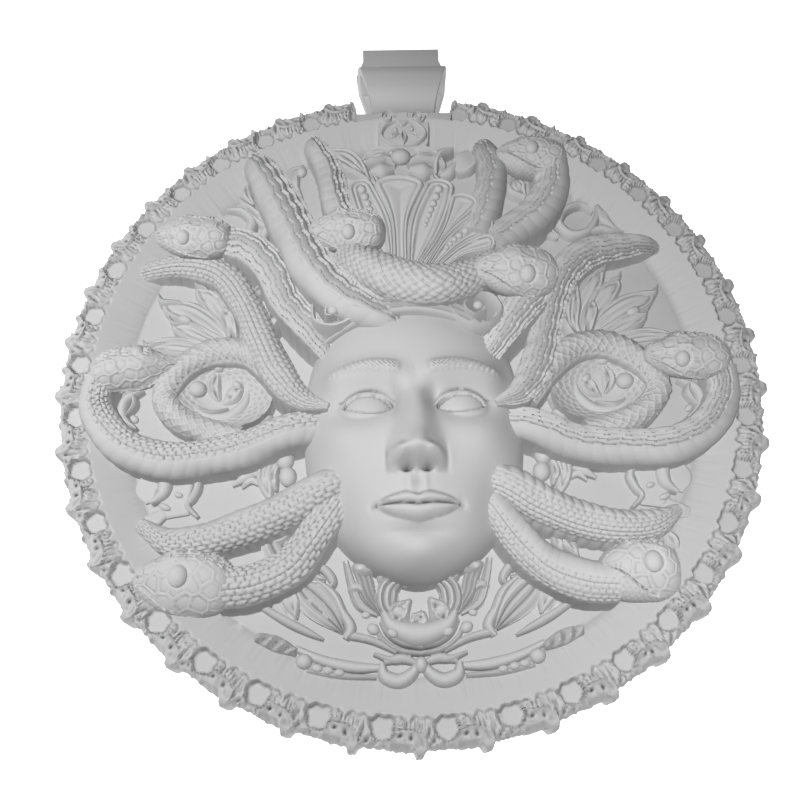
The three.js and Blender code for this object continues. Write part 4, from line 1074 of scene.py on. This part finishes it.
# The centre line: the plaque over the notch side, the tied ribbon, the moulded brow band
# with its two volutes, the leaf collar and cup under the chin, and the swags along the foot.
ornament("brow_band", [
    (moulded_skin, [
        [[-25, 4.5, 15, 1.6], [-17, 8.6, 20, 2.4], [-9, 10.6, 23, 2.6], [0, 11.2, 24.4, 2.6],
         [9, 10.4, 23, 2.6],
         [16, 8.6, 20, 2.4], [21, 6, 16, 1.6]],
    ]),
    (rod_skin, [
        [[-26.5, 13.8, 19, 0.8], [-25.6, 8.4, 20.4, 1.2], [-20.8, 6.6, 21, 1.4],
         [-16, 8.8, 21.4, 1.3], [-18.2, 12.6, 21.4, 1.1],
         [-22.2, 12.6, 21.2, 1], [-22.6, 9.7, 21.2, 0.8], [-19.8, 9.2, 21.2, 0.7]],
        [[9.6, 12.4, 22, 0.7], [11.6, 8.4, 22, 1.1], [15.4, 5.8, 22, 1.5], [21, 6.6, 21.6, 1.7],
         [23.8, 10.6, 21, 1.7],
         [21.4, 14.8, 21, 1.5], [16.6, 14.8, 21.4, 1.3], [14.2, 11.4, 21.6, 1.1],
         [16.4, 8.8, 21.8, 0.9],
         [19.4, 9.8, 21.8, 0.8], [18.2, 12, 21.8, 0.6]],
    ]),
], beads=[(-20.6, 10.6, 21, 1.5, 1.1, 0.4), (17.6, 11, 21.4, 1.3, 1.1, 0.4)], mirrored=False)

ornament("ribbon", [
    (leaf_skin, [
        [[-2.5, 71.6, 4, 1.2], [-6, 73.4, 5.6, 2.4], [-10.5, 72.6, 5.4, 2.4], [-14.4, 69.6, 4, 0.4]],
        [[0.6, 71.6, 4, 1.2], [4.6, 73.4, 5.6, 2.4], [9, 72.6, 5.4, 2.2], [12.6, 69.8, 4, 0.4]],
        [[-11, 65.4, 3, 0.8], [-14.4, 69, 5, 2.8], [-18.4, 72.6, 5, 3.4], [-23.6, 76.4, 3.4, 1.2]],
        [[-9.6, 66.4, 3, 1], [-8.6, 64, 3.6, 1.6], [-7.6, 61.4, 3, 0.5]],
        [[8.6, 67, 3, 1], [9.4, 64.6, 3.6, 1.6], [10.8, 62, 3, 0.5]],
    ]),
    (rod_skin, [
        [[-3.4, 69.4, 3, 1.2], [-7.4, 68.6, 4.6, 2.8], [-10.6, 68.4, 3, 1]],
        [[1.6, 69.4, 3, 1.2], [5.6, 68.4, 4.6, 2.8], [8.8, 68.2, 3, 1]],
        [[9.4, 67, 3, 0.6], [9.6, 70.6, 5, 1.2], [11.4, 73.6, 5.6, 1.5], [15, 75, 5, 0.8]],
        [[10.6, 66, 3, 0.8], [13.4, 67.6, 4, 1.8], [15.6, 70.4, 4, 1.2]],
    ]),
    (plate_skin, [[[15, 68, 3.4, 2], [18, 70.4, 4.2, 3.6], [21.4, 73.2, 3.8, 2.6]]]),
], beads=[(-1.2, 71.8, 4.6, 2.5, 1.25, 0)], mirrored=False)


def curl(u, v, radius, height, hand):
    """A route that winds in on itself, like the end of a scroll."""
    turns = [hand * 1.05 * k for k in range(10)]
    shrinks = [radius * (1 - 0.085 * k) for k in range(10)]
    return [[u + out * math.cos(a), v + out * math.sin(a), height, 0.17 * radius]
            for a, out in zip(turns, shrinks)]


ornament("plaque", [
    (plate_skin, [[[-0.2, 74.6, 4.6, 6.6], [-0.2, 77, 5, 7.8], [0, 82, 5.2, 8], [0, 88.4, 5.4, 8.2]],
                  [[-0.4, 84.8, 5.6, 1.8], [-0.4, 88.2, 6, 2]]]),
    (rod_skin, [
        curl(-5, 86, 2.4, 6.6, 1), curl(4.4, 86, 2.4, 6.6, -1),
        [[-0.4, 75.6, 5.6, 0.5], [-4.6, 76.4, 6.2, 0.7], [-7, 79.4, 6.4, 0.8], [-5.4, 83, 6.4, 0.8],
         [-2.2, 84.4, 6.4, 0.7], [-0.4, 82.8, 6, 0.5]],
        [[-0.4, 75.6, 5.6, 0.5], [4.2, 76.4, 6.2, 0.7], [6.6, 79.4, 6.4, 0.8], [4.8, 83, 6.4, 0.8],
         [1.6, 84.4, 6.4, 0.7], [-0.4, 82.8, 6, 0.5]],
        [[-5.4, 73.6, 5, 0.5], [-1.2, 75.2, 5.8, 0.8], [3, 73.6, 5, 0.5]],
    ]),
    (leaf_skin, [
        [[-0.4, 81.6, 6, 0.5], [-0.3, 78.6, 6.8, 1.6], [-0.3, 75.6, 5.8, 0.4]],
        [[-0.8, 80.6, 6, 0.4], [-3.4, 79.4, 6.6, 1.2], [-5.2, 77.8, 6, 0.3]],
        [[0, 80.6, 6, 0.4], [2.8, 79.4, 6.6, 1.2], [4.8, 77.8, 6, 0.3]],
        [[-0.8, 82, 6, 0.4], [-2.4, 83, 6.6, 0.9], [-4, 82.4, 6, 0.3]],
        [[0, 82, 6, 0.4], [1.8, 83, 6.6, 0.9], [3.4, 82.4, 6, 0.3]],
    ]),
], beads=[(-2.7, 81, 6, 0.8, 1, 0), (2.3, 81.2, 6, 0.8, 1, 0)], mirrored=False, grain=0.08 * MM)

ornament("chin_collar", [
    (folded_skin, [
        [[4.4, -57, 5, 1.2], [7.6, -60, 7, 2.8], [8, -64, 6.4, 2.6], [5.6, -67.6, 4, 0.6]],
        [[16, -53, 4, 1.2], [13.6, -57, 5.4, 2], [12.4, -61, 5, 1.8], [9.6, -65.6, 4, 0.6]],
        [[18.5, -52, 3, 0.8], [17, -58, 3.4, 1.2], [15, -63, 3, 1.4], [10.5, -66, 2.6, 0.4]],
        [[3.4, -67, 5, 0.8], [6, -69.4, 6.4, 2.2], [8.8, -68, 4.4, 0.6]],
    ]),
    (leaf_skin, [
        [[11, -53.6, 6, 1.2], [13.4, -54.8, 6.6, 1.8], [16.4, -53.6, 5, 0.6]],
        [[6.6, -55.8, 6, 0.9], [8.6, -57.2, 7, 1.6], [10.4, -56.4, 5, 0.5]],
        [[1.6, -57.4, 5, 0.6], [3, -58.4, 6.4, 1.2], [5, -57.4, 4.6, 0.4]],
        [[4.6, -64.6, 5, 0.6], [3.8, -66.4, 6.4, 1.4], [3.6, -69, 4.4, 0.4]],
        [[13, -60.4, 4, 0.6], [15.6, -58.8, 4.6, 1.2], [18, -59.6, 3, 0.4]],
    ]),
    (rod_skin, [
        [[9.6, -67.6, 4, 0.6], [8, -70.6, 4.6, 0.7], [4.6, -73, 4.6, 0.7], [-0.5, -74, 4.6, 0.7]],
        [[11, -68.4, 3, 0.5], [9.4, -71.8, 4, 0.7], [5.4, -74.6, 4, 0.7], [-0.5, -75.6, 4, 0.7]],
        [[6, -75, 3, 0.6], [12, -72, 3.4, 1], [18, -70.6, 3, 1], [19, -70.6, 3, 0.8]],
        [[2.5, -76.4, 3, 0.8], [6.5, -77, 3.6, 1], [11.6, -75.4, 3, 0.5]],
    ]),
], beads=[(11.6, -69.6, 3.4, 1.4, 1.2, 0.6), (13.4, -66, 3, 0.9, 1.3, 0), (6.8, -71, 6, 1.1, 1.3, 0.5)])

ornament("cup", [
    (rod_skin, [[[-9.4, -64.6, 5, 0.6], [-7, -68.8, 6.4, 2.2], [0, -71.2, 7, 3.2],
                 [7, -68.8, 6.4, 2.2], [9.4, -64.6, 5, 0.6]]]),
    (leaf_skin, [
        [[-6.4, -68.6, 5, 1], [-5.2, -66, 6.6, 2.8], [-2, -62.6, 6, 0.4]],
        [[6.4, -68.6, 5, 1], [5.2, -66, 6.6, 2.8], [2.4, -62.2, 6, 0.4]],
        [[-2.4, -69, 5, 1], [0, -67.4, 5.6, 2.4], [1, -65.4, 5, 0.6]],
    ]),
    (rod_skin, [
        *both_sides([[0.6, -77, 3.6, 0.6], [2, -80, 4.4, 1.5], [5.4, -82, 4.6, 1.9],
                     [9, -80.6, 4.4, 1.7], [9.6, -77.6, 3.6, 0.8]]),
        *both_sides([[1.2, -77.6, 3, 0.8], [4.8, -76.6, 3.6, 1.3], [9, -77.4, 3, 0.7]]),
    ]),
], beads=[(0, -78.4, 3.6, 2, 0.8, 0)], mirrored=False)

ornament("foot_swags", [
    (rod_skin, [
        [[27.5, -53.4, 3, 0.5], [24, -54, 4, 1.2], [21.6, -57.4, 4, 1.1], [22.6, -59, 3, 0.4]],
        [[25.4, -57, 3, 0.6], [21.4, -60.6, 4, 1.2], [19.2, -65, 4, 1.2], [17.2, -69, 4, 1.4],
         [18.6, -71.6, 3.4, 0.9]],
        [[39.6, -63, 3, 0.9], [33, -67, 3.6, 1.2], [28, -69.6, 3.4, 1], [24, -71.6, 3, 0.4]],
        [[31, -73.4, 2.6, 0.8], [24, -76.6, 3, 1.3], [16, -78.4, 3, 1.4], [10, -78.6, 2.6, 0.9]],
        [[28, -79, 3.4, 0.6], [20, -80.4, 3.8, 0.8], [11, -81, 3.6, 0.6]],
    ]),
    (folded_skin, [
        [[31, -57, 3, 1.2], [27.5, -60.6, 3.6, 4], [23, -65, 3.6, 3.6], [19, -70, 3, 0.6]],
        [[30, -54.6, 3, 1], [26.4, -56.4, 3.6, 1.6], [23.6, -56.8, 3, 0.4]],
    ]),
    (leaf_skin, [
        [[33.6, -58.4, 3, 1], [32.2, -62, 4, 2.3], [30.8, -66.4, 3, 0.4]],
        [[36.4, -60, 2, 1.4], [34.4, -63.6, 2.6, 2], [31, -67.4, 2, 0.6]],
    ]),
    (twisted_skin, [[[40.6, -70.6, 5, 1.2], [35.6, -72.4, 5.4, 1.9], [30.6, -74.6, 5, 1]]]),
], beads=[(28.6, -77, 3.6, 1.9, 1.1, 0.2), (25.4, -78.6, 3.6, 1, 1.4, 0.2),
          (22.8, -79.2, 3.6, 1, 1.4, 0.1), (20, -79.8, 3.6, 0.9, 1.4, 0.1)])

ornament("fan_leaf", [
    (folded_skin, [[[-38, -43, 4, 1.4], [-36.4, -47, 5, 4], [-34.6, -50.6, 4.6, 3.6],
                    [-33.6, -53, 3, 1]]]),
    (leaf_skin, [
        [[-33, -44, 5, 1], [-35, -46, 6, 2], [-39, -46.4, 4, 0.5]],
        [[37.4, -46, 3, 0.8], [39.4, -49, 4, 1.6], [41.6, -52.6, 3, 0.3]],
        [[35.4, -46, 3, 0.8], [36.4, -48.4, 4, 1.3], [37.6, -51, 3, 0.3]],
        [[64.6, -46, 3, 1], [66, -48.6, 4, 1.8], [67.6, -51.4, 3, 0.5]],
        [[36.6, 13, 8, 1], [37.4, 17.6, 9, 2.6], [35.6, 21, 7, 1]],
        [[38.6, 19, 8, 0.8], [41, 23, 8, 2], [40.4, 27.6, 7, 0.6]],
        [[-41, 11, 8, 0.8], [-38.4, 15, 9, 2.2], [-39, 20, 7, 0.5]],
        [[-44.6, 25, 5, 0.8], [-41.6, 28.4, 6, 2], [-42, 33, 5, 0.5]],
    ]),
], mirrored=False)


# The bail: a strap loop with a flat back plate, cast smooth on its own and let into a seat
# in the back of the medallion.
strap_resin = matt_cast_resin("smooth cast resin", "#b0b0b0", "#adadad", 0.65, 0.5)


def bail():
    bpy.ops.object.select_all(action="DESELECT")
    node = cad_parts["bail"]
    strap = bpy.data.objects.new("strap_loop", node.data.copy())
    bpy.context.scene.collection.objects.link(strap)
    strap.select_set(True)
    bpy.context.view_layer.objects.active = strap
    bpy.ops.object.mode_set(mode="EDIT")
    bpy.ops.mesh.select_all(action="SELECT")
    bpy.ops.mesh.remove_doubles(threshold=0.01 * MM)
    bpy.ops.mesh.dissolve_limited(angle_limit=math.radians(1))
    bpy.ops.object.mode_set(mode="OBJECT")
    rounded = strap.modifiers.new("rounded edges", "BEVEL")
    rounded.width = 0.12 * MM
    rounded.segments = 3
    rounded.angle_limit = math.radians(40)
    bpy.ops.object.modifier_apply(modifier=rounded.name)
    bpy.ops.object.shade_smooth_by_angle(angle=math.radians(35))
    strap.data.materials.clear()
    strap.data.materials.append(strap_resin)
    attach(strap, "root")
    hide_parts("bail")


bail()


# The floor that the medallion lies on, white like the photograph's ground, with a little glow
# of its own. Three soft lamps without shadows light the relief: one high over the camera's
# left, one lower at the left, and a small one near the relief at the chin's right.
def paper():
    material = bpy.data.materials.new("white paper")
    material.use_nodes = True
    skin = material.node_tree.nodes["Principled BSDF"]
    skin.inputs["Base Color"].default_value = linear("#ffffff")
    skin.inputs["Roughness"].default_value = 0.9
    skin.inputs["Emission Color"].default_value = linear("#ffffff")
    skin.inputs["Emission Strength"].default_value = 0.7
    return material


bpy.ops.object.select_all(action="DESELECT")
bpy.ops.mesh.primitive_plane_add(size=4, location=(0, 0, 0))
floor = bpy.context.object
floor.name = "floor"
floor.data.materials.append(paper())


def soft_box(name, place, size, power):
    """A round lamp aimed at the middle of the disc's back, its size in metres, power in watts."""
    light = bpy.data.lights.new(name, "AREA")
    light.use_shadow = False
    light.shape = "DISK"
    light.size = size
    light.energy = power
    lamp = bpy.data.objects.new(name, light)
    bpy.context.scene.collection.objects.link(lamp)
    lamp.location = place
    lamp.rotation_euler = (-Vector(place)).to_track_quat("-Z", "Y").to_euler()
    lamp.visible_camera = False


soft_box("key", (-0.06, -0.04, 0.18), 0.04, 0.165)
soft_box("side", (-0.062, 0.002, 0.08), 0.02, 0.055)
soft_box("fill", (0.03, -0.03, 0.052), 0.012, 0.0155)

world = bpy.data.worlds.new("studio")
world.use_nodes = True
world.node_tree.nodes["Background"].inputs["Color"].default_value = (1, 1, 1, 1)
world.node_tree.nodes["Background"].inputs["Strength"].default_value = 0.06
bpy.context.scene.world = world
bpy.context.scene.view_settings.view_transform = "Standard"


# The camera, at the photograph's angle: about 11 cm away, on the chin's side, and looking down
# at the relief.
camera = bpy.data.cameras.new("camera")
camera.lens = 42.0
camera.sensor_width = 36
camera.clip_start = 0.005
viewer = bpy.data.objects.new("camera", camera)
bpy.context.scene.collection.objects.link(viewer)
CAMERA_PLACE = Vector((-2.95, -42.74, 100.5)) * MM
LOOK = Vector((0.01481, 0.38699, -0.92196))
UPWARDS = Vector((0.02067, 0.92175, 0.38723))
right = LOOK.cross(UPWARDS).normalized()
upright = right.cross(LOOK).normalized()
viewer.matrix_world = Matrix((
    *zip(right, upright, -LOOK, CAMERA_PLACE),
    (0, 0, 0, 1),
))
bpy.context.scene.camera = viewer
